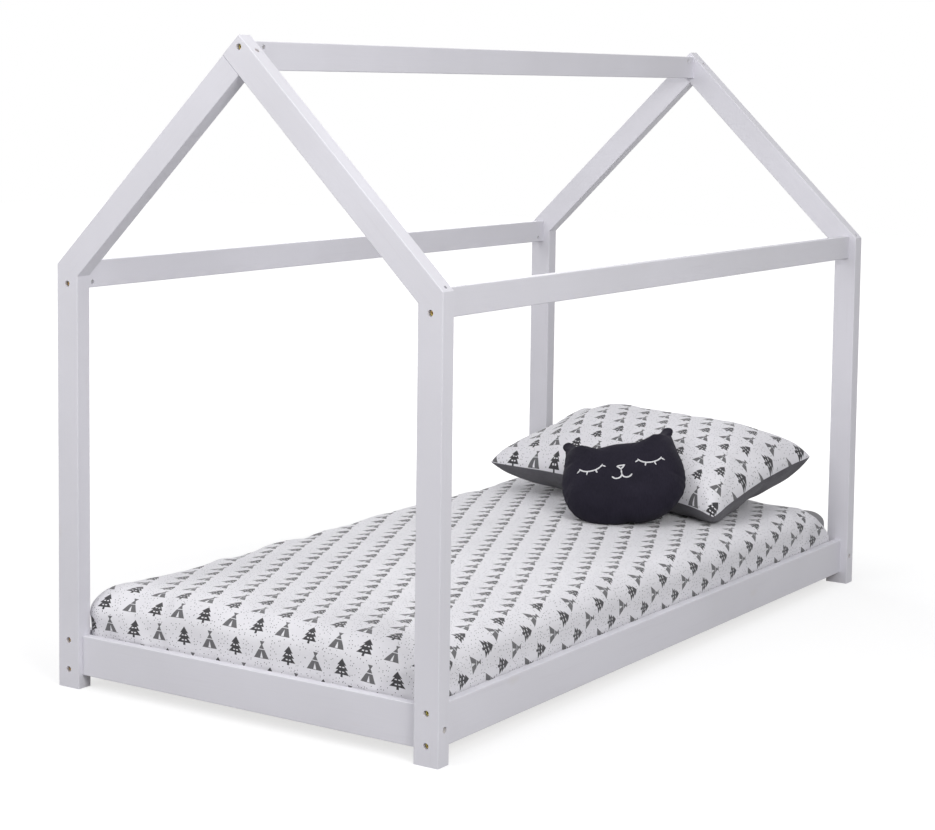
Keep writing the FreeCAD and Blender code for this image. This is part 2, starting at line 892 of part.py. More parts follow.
def make_duvet():
    duvet = document.addObject("Part::Feature", "duvet_cover")
    duvet.Shape = duvet_shape()
    duvet.Placement = FreeCAD.Placement()
    nodes["duvet"] = duvet


# ---- Pillow and cushion ----


def pillow_outline(half_x, half_y, draw, corner, z):
    """Four long sides drawn in by arcs, or bulging if draw is negative, and four round corners."""
    diagonal = corner * (1 - 0.7071)
    edges = []
    for number in range(4):
        turn = FreeCAD.Rotation(Vector(0, 0, 1), 90 * number)
        across, along = (half_x, half_y) if number % 2 == 0 else (half_y, half_x)
        points = [
            Vector(corner - across, -along, z),
            Vector(0, draw - along, z),
            Vector(across - corner, -along, z),
            Vector(across - diagonal, diagonal - along, z),
            Vector(across, corner - along, z),
        ]
        points = [turn.multVec(point) for point in points]
        edges.append(arc(*points[:3]))
        edges.append(arc(*points[2:]))
    return Part.Wire(edges)


def pillow_half(height):
    """One side of the pillow, from its seam to its crown."""
    half_x, half_y, draw = size("pillow_width / 2"), size("pillow_depth / 2"), size("pillow_draw")
    levels = (
        # share of the height, of the half sizes, of the draw, and the corner's share of the depth
        (0, 1, 1, 0.05),
        (0.16, 0.965, 0.8, 0.09),
        (0.42, 0.88, 0.3, 0.18),
        (0.7, 0.72, -0.4, 0.3),
        (0.9, 0.5, -0.9, 0.34),
        (1, 0.24, -0.6, 0.18),
    )
    wires = [
        pillow_outline(
            half_x - (1 - share) * half_y,
            share * half_y,
            curve * draw,
            corner * half_y,
            rise * height,
        )
        for rise, share, curve, corner in levels
    ]
    return Part.makeLoft(wires, True, False)


def lowered(shape, depth_below, surface):
    """The shape moved up or down to press a given depth into a level surface."""
    moved = shape.copy()
    moved.translate(Vector(0, 0, surface - depth_below - moved.optimalBoundingBox().ZMin))
    return moved


def cut_flat(shape, surface):
    """The shape without what lies under the level surface that it rests on."""
    box = shape.BoundBox
    room = Part.makeBox(
        box.XLength, box.YLength, box.ZMax - surface, Vector(box.XMin, box.YMin, surface)
    )
    return shape.common(room).Solids[0]


def pillow_shape():
    whole = pillow_half(size("pillow_rise")).fuse(pillow_half(-size("pillow_sag")))
    whole.rotate(Vector(), Vector(0, 1, 0), size("pillow_roll"))
    whole.rotate(Vector(), Vector(1, 0, 0), size("pillow_tilt"))
    whole.rotate(Vector(), Vector(0, 0, 1), -size("pillow_turn"))
    whole.translate(Vector(size("pillow_x"), size(f"{HALF_LENGTH} - pillow_head_gap"), 0))
    surface = size(f"{MATTRESS_TOP} + duvet_top + rest_gap")
    return cut_flat(lowered(whole, size("pillow_flat"), surface), surface)


def cat_outline(share, ears, y):
    """A cat's head seen from in front: round cheeks and chin, and two pointed ears."""
    half = size("cat_width / 2") * share
    top = size("cat_face_height / 2") * share
    ear = size("cat_ear_rise") * ears

    def at(across, up):
        return Vector(across * half, y, up * top)

    tip = Vector(0, 0, ear)
    right = [
        at(0, -1.0),
        at(0.58, -0.93),
        at(0.93, -0.5),
        at(1.0, -0.1),
        at(0.98, 0.4),
        at(0.93, 0.72),
        at(0.88, 0.98) + tip * 0.45,
        at(0.83, 0.97) + tip,
        at(0.74, 0.98) + tip * 0.72,
        at(0.46, 1.0) + tip * 0.05,
        at(0.24, 1.02),
        at(0.0, 1.03),
    ]
    left = [Vector(-point.x, point.y, point.z) for point in reversed(right)]

    def half_outline(points):
        return [
            arc(points[0], points[1], points[2]),
            arc(points[2], points[3], points[4]),
            arc(points[4], points[5], points[6]),
            arc(points[6], points[7], points[8]),
            line(points[8], points[9]),
            arc(points[9], points[10], points[11]),
        ]

    mirrored = [
        arc(left[0], left[1], left[2]),
        line(left[2], left[3]),
        arc(left[3], left[4], left[5]),
        arc(left[5], left[6], left[7]),
        arc(left[7], left[8], left[9]),
        arc(left[9], left[10], left[11]),
    ]
    return Part.Wire(half_outline(right) + mirrored)


def cat_half(bulge):
    """One side of the cushion, from its seam to its crown."""
    levels = ((0, 1, 1), (0.3, 0.955, 0.82), (0.62, 0.86, 0.5), (0.88, 0.66, 0.2), (1, 0.36, 0.03))
    wires = [cat_outline(share, ears, rise * bulge) for rise, share, ears in levels]
    return Part.makeLoft(wires, True, False)


def cat_shape(pillow):
    """The cushion stands on the duvet and leans back against the pillow."""
    bulge = size("cat_bulge")
    whole = cat_half(bulge).fuse(cat_half(-bulge))
    whole.rotate(Vector(), Vector(0, 1, 0), -size("cat_roll"))
    whole.rotate(Vector(), Vector(1, 0, 0), -size("cat_lean"))
    whole.rotate(Vector(), Vector(0, 0, 1), size("cat_turn"))
    surface = size(f"{MATTRESS_TOP} + duvet_top + rest_gap")
    whole.translate(Vector(size("cat_x"), pillow.BoundBox.YMin - size("cat_width"), 0))
    whole = lowered(whole, size("cat_flat"), surface)
    gap, clear = whole.distToShape(pillow)[0], size("rest_gap")
    while gap > 2 * clear:
        whole.translate(Vector(0, gap - clear, 0))
        gap = whole.distToShape(pillow)[0]
    return cut_flat(whole, surface)


def make_pillow_and_cushion():
    pillow = document.addObject("Part::Feature", "pillow_cover")
    pillow.Shape = pillow_shape()
    pillow.Placement = FreeCAD.Placement()
    nodes["pillow"] = pillow
    cushion = document.addObject("Part::Feature", "cat_cushion_cover")
    cushion.Shape = cat_shape(pillow.Shape)
    cushion.Placement = FreeCAD.Placement()
    nodes["cat_cushion"] = cushion


# ---- Checking and writing ----


def check_document():
    """Stops on any object that failed to build, and on any piece that isn't whole."""
    for thing in document.Objects:
        if "Invalid" in thing.State or "Error" in thing.State:
            raise RuntimeError(f"{thing.Name} didn't build: {thing.State}")
    for name, thing in nodes.items():
        if thing.Shape.isNull() or not thing.Shape.isValid() or not thing.Shape.Solids:
            raise RuntimeError(f"{name} isn't a valid solid")
        blank = blanks.get(name)
        holed = blank is not None and bool(bores[name])
        if holed and thing.Shape.Volume >= blank.Shape.Volume:
            raise RuntimeError(f"{name} lost nothing to its holes")


def write_pieces():
    os.makedirs("parts", exist_ok=True)
    for name, thing in nodes.items():
        thing.Label = name
        thing.Shape.exportStep(os.path.join("parts", f"{name}.step"))


fill_sheet()
make_posts()
make_rafters()
make_rails()
make_slatted_base()
fasten_rails()
fasten_roof()
fasten_slatted_base()
drill_pieces()
make_hardware()
make_mattress()
make_fitted_sheet()
make_duvet()
make_pillow_and_cushion()
document.recompute()
check_document()
write_pieces()
print(f"{len(nodes)} pieces written")
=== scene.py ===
import math

import bpy
import numpy as np
from mathutils import Matrix, Vector, noise
from mathutils.bvhtree import BVHTree


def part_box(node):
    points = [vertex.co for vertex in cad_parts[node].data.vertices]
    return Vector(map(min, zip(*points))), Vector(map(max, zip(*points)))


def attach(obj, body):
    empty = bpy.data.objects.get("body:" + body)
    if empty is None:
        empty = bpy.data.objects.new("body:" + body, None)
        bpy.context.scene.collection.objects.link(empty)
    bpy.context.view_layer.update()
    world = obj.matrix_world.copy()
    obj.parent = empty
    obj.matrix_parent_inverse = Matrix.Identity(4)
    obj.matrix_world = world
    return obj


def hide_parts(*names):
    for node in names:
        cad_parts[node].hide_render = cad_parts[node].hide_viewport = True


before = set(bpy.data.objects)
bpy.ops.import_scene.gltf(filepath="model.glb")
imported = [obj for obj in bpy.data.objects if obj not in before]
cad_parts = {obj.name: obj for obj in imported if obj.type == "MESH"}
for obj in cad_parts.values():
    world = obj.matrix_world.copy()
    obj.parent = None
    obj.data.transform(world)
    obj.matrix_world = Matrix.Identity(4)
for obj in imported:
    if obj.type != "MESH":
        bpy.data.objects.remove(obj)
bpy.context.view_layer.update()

# The dressed house frame bed: painted timber, slats and fittings keep their shapes and get
# their finishes here, and the bedding is made as cloth. Lengths are in metres, +Z is up,
# +Y points to the head end and +X to the right seen from the foot.

SIM_FRAMES = 20

# The duvet's form over the mattress
DUVET = {
    "half": 0.4515,
    "foot": -0.9495,
    "head": 0.892,
    "top": 0.2135,
    "crown": 0.007,
    "hem": 0.079,
    "side_reach": 0.044,
    "side_drop": 0.044,
    "end_reach": 0.070,
    "end_drop": 0.050,
    "step": 0.0135,
}
SHEET = {
    "half": 0.4414,
    "foot": -0.9414,
    "head": 0.9414,
    "top": 0.1936,
    "crown": 0.0,
    "hem": 0.0785,
    "side_reach": 0.047,
    "side_drop": 0.033,
    "end_reach": 0.047,
    "end_drop": 0.033,
    "step": 0.0155,
}
PILLOW = {
    "half": (0.366, 0.220),
    "draw": 0.020,
    "rise": 0.098,
    "sag": 0.080,
    "centre": (0.032, 0.700),
    "press": 0.008,
    "turn": -5,
    "tilt": 11,
    "roll": 2,
}
CAT = {
    "half_width": 0.155,
    "half_height": 0.116,
    "ear": 0.050,
    "bulge": 0.056,
    "x": 0.130,
    "press": 0.006,
    "turn": 17,
    "lean": -50,
    "roll": -16,
}
# The height on the duvet at which the pillow and the cushion rest
SURFACE = 0.2146
# The duvet's furthest reach to the side and the foot, between the rails and above them
RAIL_TOP = 0.125
BETWEEN_RAILS = {"half": 0.4545, "foot": -0.9555}
ABOVE_RAILS = {"half": 0.459, "foot": -0.958}
# Least distances between cloths, and the duvet's least filling
OVER_SHEET = 0.0014
OVER_DUVET = 0.0012
BESIDE_CUSHION = 0.0030
LEAST_FILLING = 0.0042
# How finely a cloth's corners, bends and walls are cut, and how square its corners are
CORNER_STEPS, BEND_STEPS, WALL_STEPS = 8, 6, 5
SQUARENESS = 4.6


# ---- Camera, light and floor ----


def set_camera():
    """The photograph's view: its place, direction and framing were worked out beforehand."""
    yaw, pitch, roll = (math.radians(angle) for angle in (34.28, 5.12, 0.60))
    ahead = Vector(
        (-math.sin(yaw) * math.cos(pitch), math.cos(yaw) * math.cos(pitch), -math.sin(pitch))
    )
    level = Vector((math.cos(yaw), math.sin(yaw), 0))
    upright = level.cross(ahead)
    right = level * math.cos(roll) + upright * math.sin(roll)
    up = upright * math.cos(roll) - level * math.sin(roll)
    data = bpy.data.cameras.new("camera")
    data.sensor_width = 36
    data.sensor_fit = "HORIZONTAL"
    data.lens = 83.52
    data.shift_x, data.shift_y = 0.0508, -0.1444
    camera = bpy.data.objects.new("camera", data)
    turn = Matrix((right, up, -ahead)).transposed().to_4x4()
    camera.matrix_world = Matrix.Translation((2.7399, -4.3617, 1.3032)) @ turn
    bpy.context.scene.collection.objects.link(camera)
    bpy.context.scene.camera = camera


def add_lamp(name, place, target, size, power):
    data = bpy.data.lights.new(name, "AREA")
    data.shape = "DISK"
    data.size, data.energy = size, power
    lamp = bpy.data.objects.new(name, data)
    lamp.location = place
    lamp.rotation_euler = (Vector(target) - Vector(place)).to_track_quat("-Z", "Y").to_euler()
    bpy.context.scene.collection.objects.link(lamp)


def set_light():
    """Even studio light. The camera and reflections see a white room."""
    world = bpy.data.worlds.new("studio")
    world.use_nodes = True
    bpy.context.scene.world = world
    nodes, links = world.node_tree.nodes, world.node_tree.links
    nodes.clear()
    ambient = nodes.new("ShaderNodeBackground")
    ambient.inputs["Color"].default_value = (0.97, 0.97, 1.0, 1)
    ambient.inputs["Strength"].default_value = 0.36
    white = nodes.new("ShaderNodeBackground")
    white.inputs["Color"].default_value = (1, 1, 1, 1)
    rays = nodes.new("ShaderNodeLightPath")
    seen = nodes.new("ShaderNodeMath")
    seen.operation = "MAXIMUM"
    links.new(rays.outputs["Is Camera Ray"], seen.inputs[0])
    links.new(rays.outputs["Is Glossy Ray"], seen.inputs[1])
    mix = nodes.new("ShaderNodeMixShader")
    links.new(seen.outputs[0], mix.inputs[0])
    links.new(ambient.outputs[0], mix.inputs[1])
    links.new(white.outputs[0], mix.inputs[2])
    output = nodes.new("ShaderNodeOutputWorld")
    links.new(mix.outputs[0], output.inputs["Surface"])
    add_lamp("overhead", (0.1, -1.0, 4.0), (0, -0.3, 0.3), 3.4, 38)
    add_lamp("front_left", (-1.4, -4.2, 2.5), (0, -0.4, 0.7), 2.4, 60)
    add_lamp("back_fill", (-3.2, 3.8, 2.6), (0, 0.2, 0.5), 2.8, 44)
    add_lamp("right_fill", (3.7, -2.5, 2.7), (0, -0.3, 0.8), 2.4, 101)


def make_floor():
    """A white floor that keeps the bed's soft shadow."""
    mesh = bpy.data.meshes.new("floor")
    reach = 14
    corners = [(-reach, -reach, 0), (reach, -reach, 0), (reach, reach, 0), (-reach, reach, 0)]
    mesh.from_pydata(corners, [], [(0, 1, 2, 3)])
    floor = bpy.data.objects.new("floor", mesh)
    bpy.context.scene.collection.objects.link(floor)
    paint = Finish("floor_white", (0.86, 0.86, 0.87), 0.9)
    diffuse = paint.add("ShaderNodeBsdfDiffuse")
    diffuse.inputs["Color"].default_value = (0.36, 0.36, 0.36, 1)
    glow = paint.add("ShaderNodeEmission")
    rays = paint.add("ShaderNodeLightPath")
    seen = paint.most(rays.outputs["Is Camera Ray"], rays.outputs["Is Glossy Ray"])
    across, along, _ = paint.split(paint.place())
    squares = (paint.times(value, value) for value in (across, along))
    away = paint.math("SQRT", paint.plus(*squares))
    brightness = paint.span(away, 1.1, 2.6, 0.70, 1.0)
    paint.link(paint.times(seen, brightness), glow.inputs["Strength"])
    both = paint.add("ShaderNodeAddShader")
    paint.link(diffuse.outputs[0], both.inputs[0])
    paint.link(glow.outputs[0], both.inputs[1])
    output = next(n for n in paint.tree.nodes if n.type == "OUTPUT_MATERIAL")
    paint.link(both.outputs[0], output.inputs["Surface"])
    mesh.materials.append(paint.material)


# ---- Finishes ----


class Finish:
    """A node material on a Principled shader, with short ways to add and join nodes."""

    def __init__(self, name, colour, roughness, **more):
        self.material = bpy.data.materials.new(name)
        self.material.use_nodes = True
        self.tree = self.material.node_tree
        self.shader = self.tree.nodes["Principled BSDF"]
        self.shader.inputs["Base Color"].default_value = (*colour, 1)
        self.shader.inputs["Roughness"].default_value = roughness
        for key, value in more.items():
            self.shader.inputs[key.replace("_", " ")].default_value = value

    def add(self, kind, **settings):
        node = self.tree.nodes.new(kind)
        for key, value in settings.items():
            if key in node.inputs:
                node.inputs[key].default_value = value
            else:
                setattr(node, key, value)
        return node

    def link(self, source, target):
        self.tree.links.new(source, target)

    def math(self, operation, *values):
        node = self.add("ShaderNodeMath", operation=operation)
        for socket, value in zip(node.inputs, values):
            if isinstance(value, (int, float)):
                socket.default_value = value
            else:
                self.link(value, socket)
        return node.outputs[0]

    def plus(self, *values):
        return self.math("ADD", *values)

    def minus(self, *values):
        return self.math("SUBTRACT", *values)

    def times(self, *values):
        return self.math("MULTIPLY", *values)

    def least(self, *values):
        return self.math("MINIMUM", *values)

    def most(self, *values):
        return self.math("MAXIMUM", *values)

    def positive(self, value):
        return self.math("ABSOLUTE", value)

    def place(self):
        return self.add("ShaderNodeTexCoord").outputs["Object"]

    def split(self, vector):
        node = self.add("ShaderNodeSeparateXYZ")
        self.link(vector, node.inputs[0])
        return node.outputs

    def mapped(self, vector, scale=(1, 1, 1), turn=(0, 0, 0)):
        node = self.add("ShaderNodeMapping")
        node.inputs["Scale"].default_value = scale
        node.inputs["Rotation"].default_value = turn
        self.link(vector, node.inputs["Vector"])
        return node.outputs[0]

    def noise(self, vector, scale, detail=2.0, rough=0.5):
        node = self.add("ShaderNodeTexNoise", Scale=scale, Detail=detail, Roughness=rough)
        self.link(vector, node.inputs["Vector"])
        return node.outputs["Fac"]

    def mix(self, share, first, second):
        """Colour between first and second, each a colour or a socket."""
        node = self.add("ShaderNodeMix", data_type="RGBA")
        for number, value in ((0, share), (6, first), (7, second)):
            socket = node.inputs[number]
            if isinstance(value, (int, float)):
                socket.default_value = value
            elif isinstance(value, tuple):
                socket.default_value = (*value, 1)
            else:
                self.link(value, socket)
        return node.outputs[2]

    def span(self, value, low, high, to_low=0.0, to_high=1.0):
        node = self.add("ShaderNodeMapRange")
        for key, number in zip(
            ("From Min", "From Max", "To Min", "To Max"), (low, high, to_low, to_high)
        ):
            node.inputs[key].default_value = number
        self.link(value, node.inputs["Value"])
        return node.outputs[0]

    def colour(self, socket):
        self.link(socket, self.shader.inputs["Base Color"])

    def rough(self, socket):
        self.link(socket, self.shader.inputs["Roughness"])

    def bump(self, height, distance, strength=1.0):
        node = self.add("ShaderNodeBump")
        node.inputs["Distance"].default_value = distance
        node.inputs["Strength"].default_value = strength
        self.link(height, node.inputs["Height"])
        self.link(node.outputs[0], self.shader.inputs["Normal"])


def painted_wood(name, turn):
    """Satin off-white paint over planed pine, whose grain just shows along the board."""
    paint = Finish(name, (0.72, 0.71, 0.76), 0.42)
    along = paint.mapped(paint.place(), turn=turn)
    streaks = paint.noise(paint.mapped(along, (1.5, 46, 46)), 2.2, 5, 0.6)
    brushed = paint.noise(paint.mapped(along, (6, 240, 240)), 2.0, 2, 0.5)
    clouds = paint.noise(paint.place(), 3.1, 3, 0.5)
    knots = paint.noise(paint.mapped(along, (7, 26, 26)), 1.1, 1, 0.4)
    base = paint.mix(paint.span(clouds, 0.35, 0.65), (0.715, 0.705, 0.752), (0.758, 0.748, 0.800))
    base = paint.mix(paint.span(streaks, 0.60, 0.80, 0, 0.35), base, (0.64, 0.62, 0.66))
    base = paint.mix(paint.span(knots, 0.74, 0.84, 0, 0.30), base, (0.66, 0.62, 0.60))
    paint.colour(base)
    paint.rough(paint.span(paint.plus(streaks, clouds), 0.7, 1.3, 0.36, 0.50))
    relief = paint.plus(paint.times(streaks, 0.8), paint.times(brushed, 0.35))
    paint.bump(relief, 0.0006, 0.55)
    return paint.material


def bare_pine(name, turn, pale, dark):
    """Planed pine with growth rings drawn out along the board, and small knots."""
    wood = Finish(name, pale, 0.62)
    along = wood.mapped(wood.place(), turn=turn)
    warp = wood.noise(wood.mapped(along, (1.2, 9, 9)), 2.0, 3, 0.55)
    rings = wood.add("ShaderNodeTexWave", Scale=9.0, Distortion=7.5, Detail=3.0)
    rings.inputs["Detail Scale"].default_value = 1.6
    rings.bands_direction = "Y"
    wood.link(wood.mapped(along, (0.35, 6, 3)), rings.inputs["Vector"])
    pores = wood.noise(wood.mapped(along, (9, 420, 420)), 1.6, 3, 0.6)
    knots = wood.noise(wood.mapped(along, (8, 22, 22)), 1.2, 1, 0.4)
    base = wood.mix(wood.span(rings.outputs["Fac"], 0.2, 0.9, 0, 0.75), pale, dark)
    base = wood.mix(wood.span(warp, 0.35, 0.75, 0, 0.4), base, tuple(0.8 * c for c in pale))
    base = wood.mix(wood.span(knots, 0.76, 0.83, 0, 0.8), base, (0.24, 0.12, 0.05))
    wood.colour(base)
    wood.rough(wood.span(pores, 0.3, 0.7, 0.52, 0.72))
    relief = wood.plus(rings.outputs["Fac"], wood.times(pores, 0.8))
    wood.bump(relief, 0.0006, 0.5)
    return wood.material


def plated_steel(name, first, second, roughness):
    """Plated steel whose tint drifts over the surface, with fine turning marks."""
    steel = Finish(name, first, roughness, Metallic=1.0)
    drift = steel.noise(steel.place(), 70, 3, 0.6)
    marks = steel.noise(steel.place(), 900, 2, 0.5)
    steel.colour(steel.mix(steel.span(drift, 0.35, 0.65), first, second))
    steel.rough(steel.span(marks, 0.3, 0.7, roughness - 0.08, roughness + 0.12))
    steel.bump(marks, 0.0001, 0.4)
    return steel.material


def cloth_relief(finish, flat, thread, slub_scale):
    """Height of a plain weave of the given thread spacing, with slubs and soft creases."""
    x, y, _ = finish.split(flat)
    wave = 2 * math.pi / thread
    warp = finish.math("SINE", finish.times(x, wave))
    weft = finish.math("SINE", finish.times(y, wave))
    weave = finish.times(warp, weft)
    slubs = finish.noise(flat, slub_scale, 3, 0.6)
    creases = finish.noise(finish.place(), 26, 4, 0.55)
    height = finish.plus(finish.times(weave, 0.10), slubs)
    return finish.plus(height, finish.times(creases, 3.2))


def flat_place(finish):
    """The point's place on the cloth as it lay flat when it was cut."""
    return finish.add("ShaderNodeUVMap", uv_map="flat").outputs[0]


def triangle(finish, x, y, apex, base, half):
    """Above zero inside an upright triangle. x is the distance from its middle line."""
    slope = half / (apex - base)
    edge = finish.minus(finish.times(finish.minus(apex, y), slope), x)
    return finish.least(edge, finish.minus(y, base))


def bar(finish, x, y, low, high, half):
    """Above zero inside an upright bar."""
    sides = finish.minus(half, x)
    ends = finish.least(finish.minus(y, low), finish.minus(high, y))
    return finish.least(sides, ends)


def printed_cotton(name):
    """White cotton printed with small fir trees and tents between fine dots.

    Both kinds stand by turns in every row, and each row is set a third of a step along.
    """
    cloth = Finish(name, (0.76, 0.75, 0.78), 0.85, Sheen_Weight=0.25, Sheen_Roughness=0.6)
    flat = flat_place(cloth)
    across, along, _ = cloth.split(flat)
    pitch, row_height = 0.068, 0.0500
    row_place = cloth.math("DIVIDE", cloth.plus(along, 10.013), row_height)
    row = cloth.math("FLOOR", row_place)
    y = cloth.times(cloth.minus(cloth.math("FRACT", row_place), 0.5), row_height)
    shift = cloth.times(row, pitch / 3)
    column_place = cloth.math("DIVIDE", cloth.plus(cloth.plus(across, shift), 10.0), pitch)
    column = cloth.math("FLOOR", column_place)
    x = cloth.times(cloth.minus(cloth.math("FRACT", column_place), 0.5), pitch)
    side = cloth.positive(x)
    fir = triangle(cloth, side, y, 0.0190, 0.0060, 0.0110)
    for apex, base, half in ((0.0130, -0.0040, 0.0152), (0.0050, -0.0135, 0.0185)):
        fir = cloth.most(fir, triangle(cloth, side, y, apex, base, half))
    fir = cloth.most(fir, bar(cloth, side, y, -0.0190, -0.012, 0.0028))
    snow = cloth.positive(cloth.minus(side, 0.0040))
    for low in (-0.0095, 0.0005):
        fir = cloth.least(fir, cloth.times(bar(cloth, snow, y, low, low + 0.0024, 0.0024), -1.0))
    tent = triangle(cloth, side, y, 0.0140, -0.0160, 0.0190)
    door = triangle(cloth, side, y, -0.0015, -0.0150, 0.0036)
    stripe = bar(cloth, side, y, 0.0018, 0.0034, 0.02)
    poles = triangle(cloth, side, cloth.times(y, -1.0), -0.0095, -0.0185, 0.0060)
    tent = cloth.least(tent, cloth.times(cloth.most(door, stripe), -1.0))
    tent = cloth.most(tent, poles)
    turns = cloth.plus(column, row)
    is_tent = cloth.math("GREATER_THAN", cloth.math("FRACT", cloth.times(turns, 0.5)), 0.25)
    shape = cloth.add("ShaderNodeMix", data_type="FLOAT")
    for number, value in ((0, is_tent), (2, fir), (3, tent)):
        cloth.link(value, shape.inputs[number])
    inked = cloth.math("GREATER_THAN", shape.outputs[0], 0.0)
    ink = cloth.mix(is_tent, (0.020, 0.019, 0.023), (0.115, 0.113, 0.120))
    worn = cloth.noise(flat, 420, 3, 0.6)
    ink = cloth.mix(cloth.span(worn, 0.55, 0.85, 0, 0.35), ink, (0.26, 0.255, 0.27))
    dots = cloth.add("ShaderNodeTexVoronoi", voronoi_dimensions="2D", Scale=125.0, Randomness=0.9)
    cloth.link(flat, dots.inputs["Vector"])
    dot = cloth.math("LESS_THAN", dots.outputs["Distance"], 0.13)
    tone = cloth.split(dots.outputs["Color"])
    dot = cloth.times(dot, cloth.math("GREATER_THAN", tone[0], 0.3))
    clear = cloth.math("GREATER_THAN", cloth.most(side, cloth.positive(y)), 0.0195)
    dot = cloth.times(dot, clear)
    clouds = cloth.noise(cloth.place(), 5, 3, 0.5)
    base = cloth.mix(cloth.span(clouds, 0.35, 0.65), (0.765, 0.755, 0.79), (0.81, 0.80, 0.835))
    base = cloth.mix(dot, base, (0.16, 0.155, 0.17))
    cloth.colour(cloth.mix(inked, base, ink))
    cloth.rough(cloth.span(worn, 0.3, 0.7, 0.78, 0.92))
    cloth.bump(cloth_relief(cloth, flat, 0.0016, 260), 0.0012, 0.45)
    return cloth.material


def plain_cotton(name, pale, dark, sheen):
    """Plain dyed cotton with a fine weave. The less sheen it has, the less it reflects."""
    cloth = Finish(name, pale, 0.88, Sheen_Weight=sheen, Sheen_Roughness=0.55)
    cloth.shader.inputs["Specular IOR Level"].default_value = 0.5 * min(1.0, 0.2 + 3 * sheen)
    flat = flat_place(cloth)
    clouds = cloth.noise(cloth.place(), 9, 4, 0.6)
    threads = cloth.noise(cloth.mapped(flat, (500, 90, 1)), 1.0, 2, 0.5)
    base = cloth.mix(cloth.span(clouds, 0.35, 0.65), pale, dark)
    deep = tuple(0.75 * c for c in dark)
    cloth.colour(cloth.mix(cloth.span(threads, 0.4, 0.7, 0, 0.3), base, deep))
    cloth.rough(cloth.span(threads, 0.3, 0.7, 0.8, 0.94))
    cloth.bump(cloth_relief(cloth, flat, 0.0015, 240), 0.0012, 0.45)
    return cloth.material


def woven_tape(name):
    """Flat polypropylene webbing with diagonal ribs, the grooves between them painted darker as
    shade.
    """
    tape = Finish(name, (0.72, 0.72, 0.70), 0.6)
    x, y, _ = tape.split(tape.place())
    wave = 2 * math.pi / 0.0025
    rib = tape.math("SINE", tape.times(tape.plus(x, y), wave))
    cross = tape.math("SINE", tape.times(tape.minus(x, y), wave))
    ribs = tape.most(rib, cross)
    # The grooves between the ribs are painted darker and the raised ribs lighter: painted shade,
    # not the tape's own colour.
    tape.colour(tape.mix(tape.span(ribs, -0.5, 1, 0, 1), (0.50, 0.50, 0.48), (0.78, 0.78, 0.76)))
    tape.rough(tape.span(ribs, -1, 1, 0.7, 0.5))
    tape.bump(ribs, 0.0004, 0.7)
    return tape.material


def quilted_ticking(name):
    """White mattress ticking, quilted in diamonds, with painted shade darkening the hollows along
    the quilting lines.
    """
    cloth = Finish(name, (0.74, 0.74, 0.73), 0.82, Sheen_Weight=0.2)
    place = cloth.place()
    x, y, _ = cloth.split(place)
    size = 0.06
    lines = []
    for operation in ("ADD", "SUBTRACT"):
        run = cloth.math("DIVIDE", cloth.math(operation, x, y), size)
        lines.append(cloth.positive(cloth.minus(cloth.math("FRACT", run), 0.5)))
    puff = cloth.times(*(cloth.minus(0.5, line) for line in lines))
    puff = cloth.math("POWER", cloth.times(puff, 4.0), 0.4)
    fuzz = cloth.noise(place, 480, 3, 0.6)
    # The ticking is painted darker towards the quilting lines: painted shade in the stitched
    # hollows.
    cloth.colour(cloth.mix(cloth.span(puff, 0, 0.35), (0.55, 0.55, 0.54), (0.77, 0.77, 0.76)))
    cloth.rough(cloth.span(fuzz, 0.3, 0.7, 0.75, 0.9))
    cloth.bump(cloth.plus(cloth.times(puff, 4.0), fuzz), 0.0025, 0.6)
    return cloth.material


def stitched_thread(name, colour):
    """Satin-stitched embroidery thread."""
    thread = Finish(name, colour, 0.5, Sheen_Weight=0.3)
    twist = thread.noise(thread.place(), 1500, 2, 0.5)
    dim = tuple(0.7 * c for c in colour)
    thread.colour(thread.mix(thread.span(twist, 0.35, 0.65), dim, colour))
    thread.rough(thread.span(twist, 0.3, 0.7, 0.42, 0.62))
    thread.bump(twist, 0.0004, 0.6)
    return thread.material


# ---- Meshes and cloth ----


def new_piece(name, points, faces, flat=None):
    """A mesh object. flat gives each point's place on the uncut cloth, kept as a UV map."""
    mesh = bpy.data.meshes.new(name)
    mesh.from_pydata([tuple(p) for p in points], [], faces)
    if flat is not None:
        layer = mesh.uv_layers.new(name="flat")
        corners = np.empty(len(mesh.loops), dtype=np.int32)
        mesh.loops.foreach_get("vertex_index", corners)
        layer.data.foreach_set("uv", np.asarray(flat, dtype=np.float32)[corners].ravel())
    mesh.polygons.foreach_set("use_smooth", [True] * len(mesh.polygons))
    piece = bpy.data.objects.new(name, mesh)
    bpy.context.scene.collection.objects.link(piece)
    return piece


def points_of(mesh):
    found = np.empty(len(mesh.vertices) * 3)
    mesh.vertices.foreach_get("co", found)
    return found.reshape(-1, 3)


def set_points(mesh, points):
    mesh.vertices.foreach_set("co", np.asarray(points, dtype=float).ravel())
    mesh.update()


def normals_of(mesh):
    found = np.empty(len(mesh.vertices) * 3)
    mesh.vertices.foreach_get("normal", found)
    return found.reshape(-1, 3)


def applied(piece):
    """Applies the piece's modifiers to its mesh."""
    shown = piece.evaluated_get(bpy.context.evaluated_depsgraph_get())
    mesh = bpy.data.meshes.new_from_object(shown)
    piece.modifiers.clear()
    piece.data = mesh


